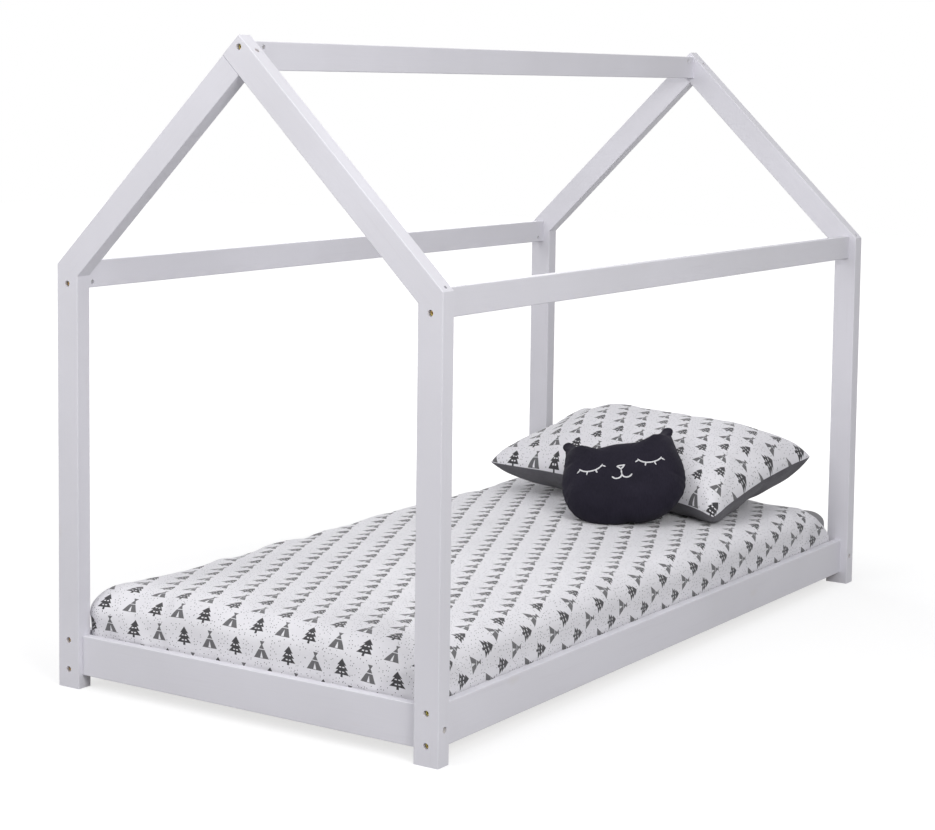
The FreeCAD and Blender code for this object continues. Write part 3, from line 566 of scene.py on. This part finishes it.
def settle(piece, pressure, growth, most, held=None):
    """Cloth blown up from inside without gravity. Its threads grow a little, so that it creases.

    No point moves further than most. held names the points that stay where they are.
    """
    start = points_of(piece.data)
    modifier = piece.modifiers.new("cloth", "CLOTH")
    cloth = modifier.settings
    cloth.quality = 5
    cloth.mass = 0.25
    cloth.tension_stiffness = cloth.compression_stiffness = 12
    cloth.shear_stiffness = 4
    cloth.bending_stiffness = 0.25
    cloth.use_pressure = True
    cloth.uniform_pressure_force = pressure
    cloth.shrink_min = -growth
    cloth.effector_weights.gravity = 0
    if held is not None:
        group = piece.vertex_groups.new(name="held")
        group.add([int(i) for i in np.flatnonzero(held)], 1.0, "REPLACE")
        cloth.vertex_group_mass = "held"
    modifier.point_cache.frame_start, modifier.point_cache.frame_end = 1, SIM_FRAMES
    scene = bpy.context.scene
    for number in range(1, SIM_FRAMES + 1):
        scene.frame_set(number)
    shown = piece.evaluated_get(bpy.context.evaluated_depsgraph_get())
    move = points_of(shown.data) - start
    piece.modifiers.clear()
    length = np.linalg.norm(move, axis=1, keepdims=True)
    move *= np.minimum(1, most / np.maximum(length, 1e-9))
    move[~np.isfinite(move)] = 0
    set_points(piece.data, start + move)
    scene.frame_set(1)


def waves(points, scale, seed):
    """Smooth noise from -1 to 1 at each point."""
    shift = Vector((seed * 7.31, seed * 3.17, seed * 5.03))
    return np.array([noise.noise(Vector(p) * scale + shift) for p in points])


def subdivide(piece, levels=1):
    modifier = piece.modifiers.new("subdivision", "SUBSURF")
    modifier.levels = modifier.render_levels = levels
    modifier.uv_smooth = "PRESERVE_BOUNDARIES"


def finished(piece, body, slot, *materials):
    for material in materials:
        piece.data.materials.append(material)
    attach(piece, body)


def cap(form, all_round):
    """Points, flat places and faces of a cloth laid over a block, hanging to its hem.

    Its middle is a grid. Skirts curve down from the left, foot and right sides, and from the
    head side too if all_round. Each skirt's flat place runs on from the middle's.
    """
    xi = form["half"] - form["side_reach"]
    y0 = form["foot"] + form["end_reach"]
    y1 = form["head"] - form["end_reach"] if all_round else form["head"]
    nx, ny = round(2 * xi / form["step"]), round((y1 - y0) / form["step"])
    xs, ys = np.linspace(-xi, xi, nx + 1), np.linspace(y0, y1, ny + 1)
    points, flat, faces = [], [], []

    def height(x):
        return form["top"] - form["crown"] * (x / xi) ** 2

    for y in ys:
        for x in xs:
            points.append((x, y, height(x)))
            flat.append((x, y))

    def grid(i, j):
        return j * (nx + 1) + i

    for j in range(ny):
        for i in range(nx):
            faces.append((grid(i, j), grid(i + 1, j), grid(i + 1, j + 1), grid(i, j + 1)))
    quarter = math.pi / 2
    fan = [quarter * step / CORNER_STEPS for step in range(CORNER_STEPS + 1)]
    path = [(grid(0, j), math.pi) for j in range(ny, 0, -1)]
    path += [(grid(0, 0), math.pi + angle) for angle in fan]
    path += [(grid(i, 0), 3 * quarter) for i in range(1, nx)]
    path += [(grid(nx, 0), 3 * quarter + angle) for angle in fan]
    path += [(grid(nx, j), 0.0) for j in range(1, ny + (0 if all_round else 1))]
    if all_round:
        path += [(grid(nx, ny), angle) for angle in fan]
        path += [(grid(i, ny), quarter) for i in range(nx - 1, 0, -1)]
        path += [(grid(0, ny), quarter + angle) for angle in fan[:-1]]
    bends = [quarter * step / BEND_STEPS for step in range(1, BEND_STEPS + 1)]
    columns = []
    for start, angle in path:
        x, y, z = points[start]
        c, s = math.cos(angle), math.sin(angle)
        side, end = abs(c / form["side_reach"]), abs(s / form["end_reach"])
        reach = (side**SQUARENESS + end**SQUARENESS) ** (-1 / SQUARENESS)
        drop = form["side_drop"] * c * c + form["end_drop"] * s * s
        column, run = [start], 0.0
        previous = (0.0, 0.0)
        for bend in bends:
            out, down = reach * math.sin(bend), drop * (1 - math.cos(bend))
            run += math.hypot(out - previous[0], down - previous[1])
            previous = (out, down)
            column.append(len(points))
            points.append((x + c * out, y + s * out, z - down))
            flat.append((x + c * run, y + s * run))
        wall = z - drop - form["hem"]
        for step in range(1, WALL_STEPS + 1):
            run += wall / WALL_STEPS
            column.append(len(points))
            points.append((x + c * reach, y + s * reach, z - drop - wall * step / WALL_STEPS))
            flat.append((x + c * run, y + s * run))
        columns.append(column)
    if all_round:
        columns.append(columns[0])
    for left, right in zip(columns, columns[1:]):
        for k in range(len(left) - 1):
            if left[k] == right[k]:
                faces.append((left[k], left[k + 1], right[k + 1]))
            else:
                faces.append((left[k], left[k + 1], right[k + 1], right[k]))
    return np.array(points), np.array(flat), faces


def make_duvet(cloth, sheet_tree):
    """The printed duvet, tucked in at the sides and foot, and lying on the sheet at the head."""
    points, flat, faces = cap(DUVET, False)
    x, y, z = points.T
    rest = points.copy()
    # It thins out to the sheet where it ends under the pillow
    near_head = np.clip((y - (DUVET["head"] - 0.07)) / 0.07, 0, 1)
    sunk = z - 0.0135 * near_head**2 * np.clip((z - 0.190) / 0.014, 0, 1)
    lowest = 0.2012
    points[:, 2] = np.where(z > lowest, np.maximum(sunk, lowest), z)
    # Filling gathers in soft billows, and the foot's left corner bulges in a fold
    piece = new_piece("duvet_shell", rest, faces, flat)
    out = normals_of(piece.data)
    bpy.data.objects.remove(piece)
    low = np.clip((z - 0.118) / 0.03, 0, 1)
    billow = 0.0042 * waves(rest * (1, 0.8, 1), 4.6, 1) + 0.0022 * waves(rest, 11, 2)
    scallop = 0.0030 * waves(rest * (0.2, 1, 0.2), 9, 3) * np.clip((x - 0.36) / 0.08, 0, 1)
    corner = np.hypot((x + 0.405) / 0.10, (y + 0.885) / 0.075)
    bulge = 0.005 * np.exp(-(corner**2) * 1.4)
    crease = ((x + 0.33) + 0.35 * (y + 0.80)) / 0.035
    valley = 0.0085 * np.exp(-(crease**2)) * np.clip((-0.60 - y) / 0.2, 0, 1)
    shift = (billow + scallop + bulge - valley) * (0.12 + 0.88 * low)
    wall = np.maximum(np.clip((0.185 - z) / 0.02, 0, 1), 0.5 * np.clip((-0.84 - y) / 0.05, 0, 1))
    shift = np.clip(shift, -0.0055 + 0.0047 * wall, np.where(low < 0.5, 0.0015, 0.010))
    points += out * shift[:, None]
    # Its head end slants: it lies further up the bed along the rails than on top
    slant = np.clip((y - 0.70) / (DUVET["head"] - 0.70), 0, 1) ** 2
    beside = np.clip((np.abs(x) - 0.38) / 0.05, 0, 1)
    low_down = np.clip((0.200 - z) / 0.07, 0, 1)
    points[:, 1] += slant * beside * (-0.048 + 0.092 * low_down)
    points[:, 0] = np.clip(points[:, 0], -BETWEEN_RAILS["half"], BETWEEN_RAILS["half"])
    piece = new_piece("duvet_cloth", points, faces, flat)
    count = len(points)
    thick = piece.modifiers.new("filling", "SOLIDIFY")
    thick.thickness, thick.offset = 0.0055, -1
    applied(piece)
    held = np.ones(len(piece.data.vertices), dtype=bool)
    held[:count] = (z < 0.10) | (y > DUVET["head"] - 0.01)
    settle(piece, 1.2, 0.035, 0.007, held)
    clear = points_of(piece.data)
    for i in range(count, 2 * count):
        where, normal, _, _ = sheet_tree.find_nearest(Vector(clear[i]), 0.03)
        if where is not None and (Vector(clear[i]) - where).dot(normal) < OVER_SHEET:
            clear[i] = where + normal * OVER_SHEET
    filling = ((clear[:count] - clear[count : 2 * count]) * out).sum(axis=1)
    clear[:count] += out * np.maximum(0, LEAST_FILLING - filling)[:, None]
    between = clear[:, 2] < RAIL_TOP
    wide = np.where(between, BETWEEN_RAILS["half"], ABOVE_RAILS["half"])
    clear[:, 0] = np.clip(clear[:, 0], -wide, wide)
    foot = np.where(between, BETWEEN_RAILS["foot"], ABOVE_RAILS["foot"])
    clear[:, 1] = np.maximum(clear[:, 1], foot)
    set_points(piece.data, clear)
    subdivide(piece)
    finished(piece, "duvet", "printed_cotton", cloth)
    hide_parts("duvet")
    return piece


def make_fitted_sheet(cloth):
    """The grey fitted sheet, smooth on top and gathered at its hem. Gives its outer surface."""
    points, flat, faces = cap(SHEET, True)
    x, y, z = points.T
    piece = new_piece("sheet_shell", points, faces, flat)
    out = normals_of(piece.data)
    bpy.data.objects.remove(piece)
    around = np.arctan2(y / 0.94, x / 0.44)
    shown = np.clip((y - 0.84) / 0.06, 0, 1)
    hem = np.clip((0.105 - z) / 0.025, 0, 1)
    creases = 0.0012 * waves(points * (1, 1, 2), 16, 5) + 0.0009 * waves(points, 34, 6)
    gathers = -0.0016 * hem * (0.5 + 0.5 * np.sin(around * 190 + 3 * waves(points, 9, 7)))
    points += out * (np.maximum(creases, -0.0001) * shown + np.maximum(gathers, -0.0006))[:, None]
    surface = BVHTree.FromPolygons([tuple(p) for p in points], faces)
    piece = new_piece("fitted_sheet_cloth", points, faces, flat)
    thick = piece.modifiers.new("cloth", "SOLIDIFY")
    thick.thickness, thick.offset = 0.0010, -1
    subdivide(piece)
    finished(piece, "mattress", "grey_cotton", cloth)
    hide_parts("fitted_sheet")
    # 0.7888 x 1.7888 flat on top, 0.0638 over each edge and 0.0821 down each side. A square as
    # wide as the side is deep is cut out at each corner.
    return surface


def rounded_ring(half_x, half_y, radius, z):
    """Points round a rectangle with round corners, counter-clockwise from the right side."""
    corner_steps, edge_steps = 10, 24
    signs = ((1, 1), (-1, 1), (-1, -1), (1, -1))
    ring = []

    def on_corner(corner, angle):
        sign_x, sign_y = signs[corner % 4]
        x, y = sign_x * (half_x - radius), sign_y * (half_y - radius)
        return x + radius * math.cos(angle), y + radius * math.sin(angle), z

    for corner in range(4):
        start = corner * math.pi / 2
        for step in range(corner_steps + 1):
            ring.append(on_corner(corner, start + step / corner_steps * math.pi / 2))
        here, there = Vector(ring[-1]), Vector(on_corner(corner + 1, start + math.pi / 2))
        for step in range(1, edge_steps):
            ring.append(tuple(here.lerp(there, step / edge_steps)))
    return ring


def make_mattress(ticking, piping):
    """The mattress: a quilted top and underside, a side band, and piping round both edges."""
    half_x, half_y, low, high = 0.4398, 0.9398, 0.0626, 0.1919
    radius = 0.0455
    # Each level's inset from the sides, and its height
    profile = [(0.30, low), (0.11, low), (0.030, low), (0.012, low + 0.0030)]
    profile += [(0.0035, low + 0.0110), (0.0016, low + 0.0170), (0.0, low + 0.040)]
    profile += [(0.0, high - 0.040), (0.0016, high - 0.027), (0.0085, high - 0.0140)]
    profile += [(0.0220, high - 0.0050), (0.040, high - 0.0012)]
    profile += [(0.12, high - 0.0008), (0.30, high - 0.0008)]
    points, faces = [], []
    for inset, z in profile:
        turn = max(0.004, radius - inset)
        points += rounded_ring(half_x - inset, half_y - inset, turn, z)
    count = len(points) // len(profile)
    for level in range(len(profile) - 1):
        for i in range(count):
            a, b = level * count + i, level * count + (i + 1) % count
            faces.append((a, b, b + count, a + count))
    faces.append(tuple(range(count - 1, -1, -1)))
    faces.append(tuple(range(len(points) - count, len(points))))
    piece = new_piece("mattress_body", points, faces)
    subdivide(piece)
    finished(piece, "mattress", "mattress_ticking", ticking)
    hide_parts("mattress")
    inset = 0.0026
    for place, z in (("lower", low + 0.0140), ("upper", high - 0.0340)):
        line = rounded_ring(half_x - inset, half_y - inset, radius - inset, z)
        bead = tube(f"mattress_piping_{place}", line, 0.0021, closed=True)
        finished(bead, "mattress", "mattress_ticking", piping)


def tube(name, line, radius, closed=False, sides=8, flatten=1.0, normals=None):
    """A tube along a line of points. flatten thins it across the given normals."""
    line = [Vector(p) for p in line]
    count = len(line)
    points, faces = [], []
    for i, middle in enumerate(line):
        before = line[i - 1] if closed or i > 0 else middle
        after = line[(i + 1) % count] if closed or i < count - 1 else middle
        ahead = (after - before).normalized()
        up = Vector(normals[i]) if normals is not None else Vector((0, 0, 1))
        side = ahead.cross(up).normalized()
        up = side.cross(ahead)
        end = not closed and i in (0, count - 1)
        size = radius * (0.55 if end else 1.0)
        for step in range(sides):
            angle = 2 * math.pi * step / sides
            across = side * size * math.cos(angle)
            points.append(middle + across + up * size * flatten * math.sin(angle))
    spans = count if closed else count - 1
    for i in range(spans):
        for step in range(sides):
            a, b = i * sides + step, i * sides + (step + 1) % sides
            c, d = ((i + 1) % count) * sides + (step + 1) % sides, ((i + 1) % count) * sides + step
            faces.append((a, b, c, d))
    if not closed:
        faces.append(tuple(range(sides - 1, -1, -1)))
        faces.append(tuple(range((count - 1) * sides, count * sides)))
    return new_piece(name, points, faces)


def make_pillow(printed, plain, duvet_top):
    """The pillow: a printed face and a plain reverse, sewn together and filled."""
    a, b = PILLOW["half"]
    nu, nv = 84, 52
    us, vs = np.linspace(-1, 1, nu + 1), np.linspace(-1, 1, nv + 1)
    points, flat, faces, reverse = [], [], [], []
    index = {}
    for side, tall in ((1, PILLOW["rise"]), (-1, -PILLOW["sag"])):
        for j, v in enumerate(vs):
            for i, u in enumerate(us):
                rim = i in (0, nu) or j in (0, nv)
                if side < 0 and rim:
                    index[side, i, j] = index[1, i, j]
                    continue
                index[side, i, j] = len(points)
                x = u * (a - PILLOW["draw"] * (1 - v * v))
                y = v * (b - PILLOW["draw"] * 0.8 * (1 - u * u))
                edge = min((1 - abs(u)) * a / b, 1.0)
                full = (1 - (1 - edge) ** 2) ** 0.52 * (1 - v * v) ** 0.48
                # The filling has slid away from the far left corner
                thin = 0.34 * math.exp(-(((u + 0.80) / 0.24) ** 2)) * (side > 0)
                points.append((x, y, tall * full * (1 - thin)))
                flat.append((0.385 * u, 0.255 * v))
    for side in (1, -1):
        for j in range(nv):
            for i in range(nu):
                square = ((0, 0), (1, 0), (1, 1), (0, 1))
                corners = [index[side, i + right, j + up] for right, up in square]
                faces.append(tuple(corners if side > 0 else reversed(corners)))
                reverse.append(side < 0)
    points = np.array(points)
    piece = new_piece("pillow_case", points, faces, flat)
    out = normals_of(piece.data)
    slack = 0.0035 * waves(points, 7, 11) + 0.0020 * waves(points * (1, 1, 0.3), 17, 12)
    set_points(piece.data, points + out * slack[:, None])
    start = points_of(piece.data)
    settle(piece, 5.0, 0.045, 0.014)
    made = points_of(piece.data)
    grids = [
        np.array([[index[side, i, j] for i in range(nu + 1)] for j in range(nv + 1)])
        for side in (1, -1)
    ]
    made += seam_return(start - made, grids)
    # Its right end sinks, and the corner nearest the foot is drawn out
    across, along = made[:, 0] / a, made[:, 1] / b
    made[:, 2] -= 0.014 * np.clip(0.5 + 0.5 * across, 0, 1)
    drawn = np.clip(across, 0, 1) ** 2 * np.clip(-along, 0, 1) ** 2
    made += drawn[:, None] * np.array((-0.012, -0.034, -0.006))
    turn = turned(PILLOW["turn"], PILLOW["tilt"], PILLOW["roll"])
    made = made @ np.array(turn).T
    made[:, 0] += PILLOW["centre"][0]
    made[:, 1] += PILLOW["centre"][1]
    made[:, 2] += SURFACE - PILLOW["press"] - made[:, 2].min()
    set_points(piece.data, rested(made, duvet_top))
    materials = np.array(reverse, dtype=np.int32)
    finished(piece, "pillow", "printed_cotton", printed, plain)
    piece.data.polygons.foreach_set("material_index", materials)
    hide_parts("pillow")
    return piece


def turned(about_z, about_x, about_y):
    """The turn by these degrees about Y first, then about X, then about Z."""
    z, x, y = (
        Matrix.Rotation(math.radians(angle), 3, axis)
        for angle, axis in ((about_z, "Z"), (about_x, "X"), (about_y, "Y"))
    )
    return z @ x @ y


def seam_return(shift, grids):
    """How each point moves when the seam goes back by shift and draws the faces with it."""
    total = np.zeros_like(shift)
    for grid in grids:
        rim = shift[grid]
        across = np.linspace(0, 1, grid.shape[1])[None, :, None]
        along = np.linspace(0, 1, grid.shape[0])[:, None, None]
        blend = (1 - across) * rim[:, :1] + across * rim[:, -1:]
        blend = blend + (1 - along) * rim[:1] + along * rim[-1:]
        low = (1 - across) * rim[:1, :1] + across * rim[:1, -1:]
        high = (1 - across) * rim[-1:, :1] + across * rim[-1:, -1:]
        total[grid] = blend - (1 - along) * low - along * high
    return total


def rested(points, surface_tree):
    """Points moved up to lie just over the surface under them."""
    moved = points.copy()
    for i, (x, y, z) in enumerate(points):
        if z > SURFACE + 0.02:
            continue
        hit = surface_tree.ray_cast(Vector((x, y, 0.6)), Vector((0, 0, -1)))[0]
        if hit is not None and z < hit.z + OVER_DUVET:
            moved[i, 2] = hit.z + OVER_DUVET
    return moved


def tree_of(piece):
    return BVHTree.FromObject(piece, bpy.context.evaluated_depsgraph_get())


def arc_points(first, middle, last, steps):
    """Points on the circle through three points of a plane, from first up to last."""
    ax, ay = first
    bx, by = middle
    cx, cy = last
    cross = 2 * (ax * (by - cy) + bx * (cy - ay) + cx * (ay - by))
    a2, b2, c2 = ax * ax + ay * ay, bx * bx + by * by, cx * cx + cy * cy
    ux = (a2 * (by - cy) + b2 * (cy - ay) + c2 * (ay - by)) / cross
    uy = (a2 * (cx - bx) + b2 * (ax - cx) + c2 * (bx - ax)) / cross
    start = math.atan2(ay - uy, ax - ux)
    through = (math.atan2(by - uy, bx - ux) - start) % (2 * math.pi)
    sweep = (math.atan2(cy - uy, cx - ux) - start) % (2 * math.pi)
    if through > sweep:
        sweep -= 2 * math.pi
    radius = math.hypot(ax - ux, ay - uy)
    angles = [start + sweep * step / steps for step in range(steps)]
    return [(ux + radius * math.cos(angle), uy + radius * math.sin(angle)) for angle in angles]


def cat_outline(share, ears):
    """The cushion's outline seen from in front, counter-clockwise from the chin."""
    w, h, ear = share * CAT["half_width"], share * CAT["half_height"], CAT["ear"] * ears
    right = [
        (0, -h),
        (0.58 * w, -0.93 * h),
        (0.93 * w, -0.5 * h),
        (w, -0.1 * h),
        (0.98 * w, 0.4 * h),
        (0.93 * w, 0.72 * h),
        (0.88 * w, 0.98 * h + 0.45 * ear),
        (0.83 * w, 0.97 * h + ear),
        (0.74 * w, 0.98 * h + 0.72 * ear),
        (0.46 * w, h + 0.05 * ear),
        (0.24 * w, 1.02 * h),
        (0, 1.03 * h),
    ]
    half = []
    for first in (0, 2, 4, 6):
        half += arc_points(right[first], right[first + 1], right[first + 2], 14)
    start, end = Vector(right[8]), Vector(right[9])
    half += [tuple(start.lerp(end, step / 8)) for step in range(8)]
    half += arc_points(right[9], right[10], right[11], 12)
    left = [(-x, z) for x, z in reversed(half[1:])]
    return half + [right[11]] + left


def make_cat(cloth, thread, duvet_top):
    """The cat-shaped cushion, filled tight, with its sleeping face stitched on."""
    shares = [1 - t**1.7 for t in np.linspace(0, 1, 22)][:-1]
    ears = np.interp(shares, (0, 0.36, 0.66, 0.86, 0.955, 1), (0, 0.03, 0.2, 0.5, 0.82, 1))
    outlines = [cat_outline(share, ear) for share, ear in zip(shares, ears)]
    count = len(outlines[0])
    points, flat, faces = [], [], []
    index = {}
    for side in (-1, 1):
        for level, share in enumerate(shares):
            for i, (x, z) in enumerate(outlines[level]):
                if side > 0 and level == 0:
                    index[side, level, i] = index[-1, 0, i]
                    continue
                index[side, level, i] = len(points)
                in_ear = min(max((z - 0.92 * CAT["half_height"]) / CAT["ear"], 0.0), 1.0)
                bulge = CAT["bulge"] * max(0.0, 1 - share**3.4) ** 0.52 * (1 - 0.86 * in_ear**0.7)
                points.append((x, side * bulge, z))
                flat.append((x + 0.6 * (side > 0), z))
        index[side, "middle"] = len(points)
        points.append((0, side * CAT["bulge"], 0))
        flat.append((0.6 * (side > 0), 0))
    for side in (-1, 1):
        for level in range(len(shares) - 1):
            for i in range(count):
                j = (i + 1) % count
                square = ((0, i), (0, j), (1, j), (1, i))
                quad = [index[side, level + inward, k] for inward, k in square]
                faces.append(tuple(quad if side < 0 else reversed(quad)))
        last = len(shares) - 1
        for i in range(count):
            j = (i + 1) % count
            three = [index[side, last, i], index[side, last, j], index[side, "middle"]]
            faces.append(tuple(three if side < 0 else reversed(three)))
    points = np.array(points)
    seam = [index[-1, 0, i] for i in range(count)]
    piece = new_piece("cat_cushion_body", points, faces, flat)
    out = normals_of(piece.data)
    distance = np.abs(points[:, 1])
    around = np.arctan2(points[:, 2], points[:, 0])
    lowdown = np.clip(0.5 - points[:, 2] / 0.12, 0.15, 1)
    pleats = np.sin(around * 46 + 4 * waves(points, 14, 21)) * np.exp(-((distance / 0.024) ** 2))
    slack = 0.0022 * pleats * lowdown + 0.0016 * waves(points, 18, 22)
    set_points(piece.data, points + out * slack[:, None])
    start = points_of(piece.data)
    settle(piece, 6.0, 0.02, 0.006)
    made = points_of(piece.data)
    # The ears are too narrow to swell
    in_ear = np.clip((start[:, 2] - 0.9 * CAT["half_height"]) / (0.3 * CAT["ear"]), 0, 1)
    made += (start - made) * in_ear[:, None]
    for side in (-1, 1):
        for level, share in enumerate(shares[1:], 1):
            ring = [index[side, level, i] for i in range(count)]
            made[ring] += share * (start - made)[seam]
    made[seam] = start[seam]
    turn = turned(CAT["turn"], CAT["lean"], CAT["roll"])
    low_y = (points @ np.array(turn).T)[:, 1].min()
    offset = Vector((CAT["x"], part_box("cat_cushion")[0][1] - low_y, 0))
    made = made @ np.array(turn).T + np.array(offset)
    lift = SURFACE - CAT["press"] - made[:, 2].min()
    made[:, 2] += lift
    offset.z += lift
    set_points(piece.data, rested(made, duvet_top))
    subdivide(piece)
    finished(piece, "cat_cushion", "dark_plush", cloth)
    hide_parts("cat_cushion")
    stitch_face(piece, thread, turn, offset)
    return piece


def stitch_face(piece, thread, turn, offset):
    """Closed eyes with lashes, a small nose and a mouth, laid on the front of the cushion."""
    tree = tree_of(piece)
    lines = {}
    for side, name in ((-1, "left"), (1, "right")):
        middle = Vector((side * 0.074, 0.030))

        def on_lid(angle):
            return middle.x + 0.033 * math.cos(angle), middle.y + 0.028 * math.sin(angle)

        lines[f"eye_{name}"] = [on_lid(math.radians(205 + 130 * step / 14)) for step in range(15)]
        for number, share in enumerate((0.06, 0.36, 0.64, 0.94)):
            angle = math.radians(205 + 130 * share)
            root = Vector(on_lid(angle))
            out = Vector((math.cos(angle), math.sin(angle) * 1.1)).normalized()
            lines[f"lash_{name}_{number}"] = [tuple(root + out * 0.011 * t) for t in (0, 0.5, 1)]
        mouth = []
        for step in range(11):
            angle = math.radians(180 + 165 * step / 10)
            mouth.append((side * 0.0125 * (1 + math.cos(angle)), -0.024 + 0.012 * math.sin(angle)))
        lines[f"mouth_{name}"] = mouth
    nose = [(-0.010, 0.004), (0.010, 0.004), (0.0, -0.008)]
    loop = []
    for first, second in zip(nose, nose[1:] + nose[:1]):
        for step in range(6):
            loop.append(tuple(Vector(first).lerp(Vector(second), step / 6)))
    lines["nose"] = loop + [loop[0]]
    lines["nose_line"] = [(0.0, -0.008 - 0.016 * t) for t in (0, 0.5, 1)]
    back = turn @ Vector((0, 1, 0))
    for name, line in lines.items():
        found, normals = [], []
        for x, z in line:
            origin = turn @ Vector((x, -0.2, z)) + offset
            hit, normal, _, _ = tree.ray_cast(origin, back)
            if hit is not None:
                found.append(hit + normal * 0.0002)
                normals.append(normal)
        stitch = tube(f"cat_face_{name}", found, 0.0022, flatten=0.55, normals=normals)
        finished(stitch, "cat_cushion", "dark_plush", thread)


def make_room(soft, hard):
    """Presses the soft piece's points out of the hard piece where the two touch."""
    tree = tree_of(hard)
    points = points_of(soft.data)
    for i, point in enumerate(points):
        where, normal, _, _ = tree.find_nearest(Vector(point), 0.06)
        if where is not None and (Vector(point) - where).dot(normal) < BESIDE_CUSHION:
            points[i] = where + normal * BESIDE_CUSHION
    set_points(soft.data, points)


# ---- Dressing the frame ----


def dress(node, material):
    """Gives a CAD piece its finish. Its shape stays."""
    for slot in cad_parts[node].material_slots:
        slot.material = material


def dress_frame():
    """Paint, bare wood, webbing and plating, with each grain along its board."""
    slope = math.radians(44.3)
    quarter = math.pi / 2
    paints = {
        "x": painted_wood("paint_along_x", (0, 0, 0)),
        "y": painted_wood("paint_along_y", (0, 0, quarter)),
        "z": painted_wood("paint_along_z", (0, quarter, 0)),
        "left": painted_wood("paint_left_slope", (0, slope, 0)),
        "right": painted_wood("paint_right_slope", (0, -slope, 0)),
    }
    for end in ("foot", "head"):
        dress(f"{end}_rail", paints["x"])
        for side in ("left", "right"):
            dress(f"post_{end}_{side}", paints["z"])
            dress(f"rafter_{end}_{side}", paints[side])
    for side in ("left", "right"):
        dress(f"side_rail_{side}", paints["y"])
        dress(f"eave_rail_{side}", paints["y"])
    dress("ridge_beam", paints["y"])
    pale, dark = (0.62, 0.42, 0.22), (0.46, 0.27, 0.12)
    slats = [
        bare_pine("pine_slat_a", (0, 0, 0), pale, dark),
        bare_pine("pine_slat_b", (0.25, 0.03, 0.02), (0.66, 0.47, 0.27), (0.50, 0.31, 0.15)),
        bare_pine("pine_slat_c", (-0.3, -0.02, 0.015), (0.58, 0.38, 0.20), (0.42, 0.24, 0.11)),
    ]
    ledge = bare_pine("pine_ledge", (0, 0, quarter), pale, dark)
    for number in range(1, 15):
        dress(f"slat_{number:02d}", slats[number * 7 % 3])
    tape = woven_tape("strap_webbing")
    for side in ("left", "right"):
        dress(f"slat_ledge_{side}", ledge)
        dress(f"slat_strap_{side}", tape)
    bronze = plated_steel("bolt_plating", (0.62, 0.36, 0.16), (0.52, 0.46, 0.15), 0.5)
    zinc = plated_steel("zinc_plating", (0.55, 0.56, 0.58), (0.62, 0.60, 0.56), 0.34)
    beech = bare_pine("dowel_beech", (0, 0, 0), (0.64, 0.46, 0.28), (0.52, 0.34, 0.19))
    for node in ("rail_bolts", "end_rail_bolts", "apex_screws", "rafter_foot_screws"):
        dress(node, bronze)
    for node in ("barrel_nuts", "ledge_screws", "slat_screws", "strap_tacks"):
        dress(node, zinc)
    dress("wooden_dowels", beech)


bpy.context.scene.view_settings.view_transform = "Standard"
set_camera()
set_light()
make_floor()
dress_frame()
printed = printed_cotton("printed_cotton")
grey = plain_cotton("grey_cotton", (0.122, 0.119, 0.132), (0.098, 0.095, 0.107), 0.12)
sheet_grey = plain_cotton("sheet_cotton", (0.275, 0.27, 0.28), (0.24, 0.235, 0.245), 0.12)
navy = plain_cotton("navy_cotton", (0.0200, 0.0175, 0.0290), (0.0130, 0.0115, 0.0200), 0.02)
ticking = quilted_ticking("mattress_ticking")
make_mattress(ticking, stitched_thread("mattress_piping", (0.62, 0.62, 0.62)))
duvet = make_duvet(printed, make_fitted_sheet(sheet_grey))
duvet_tree = tree_of(duvet)
cat = make_cat(navy, stitched_thread("face_thread", (0.80, 0.80, 0.82)), duvet_tree)
pillow = make_pillow(printed, grey, duvet_tree)
make_room(pillow, cat)
subdivide(pillow)
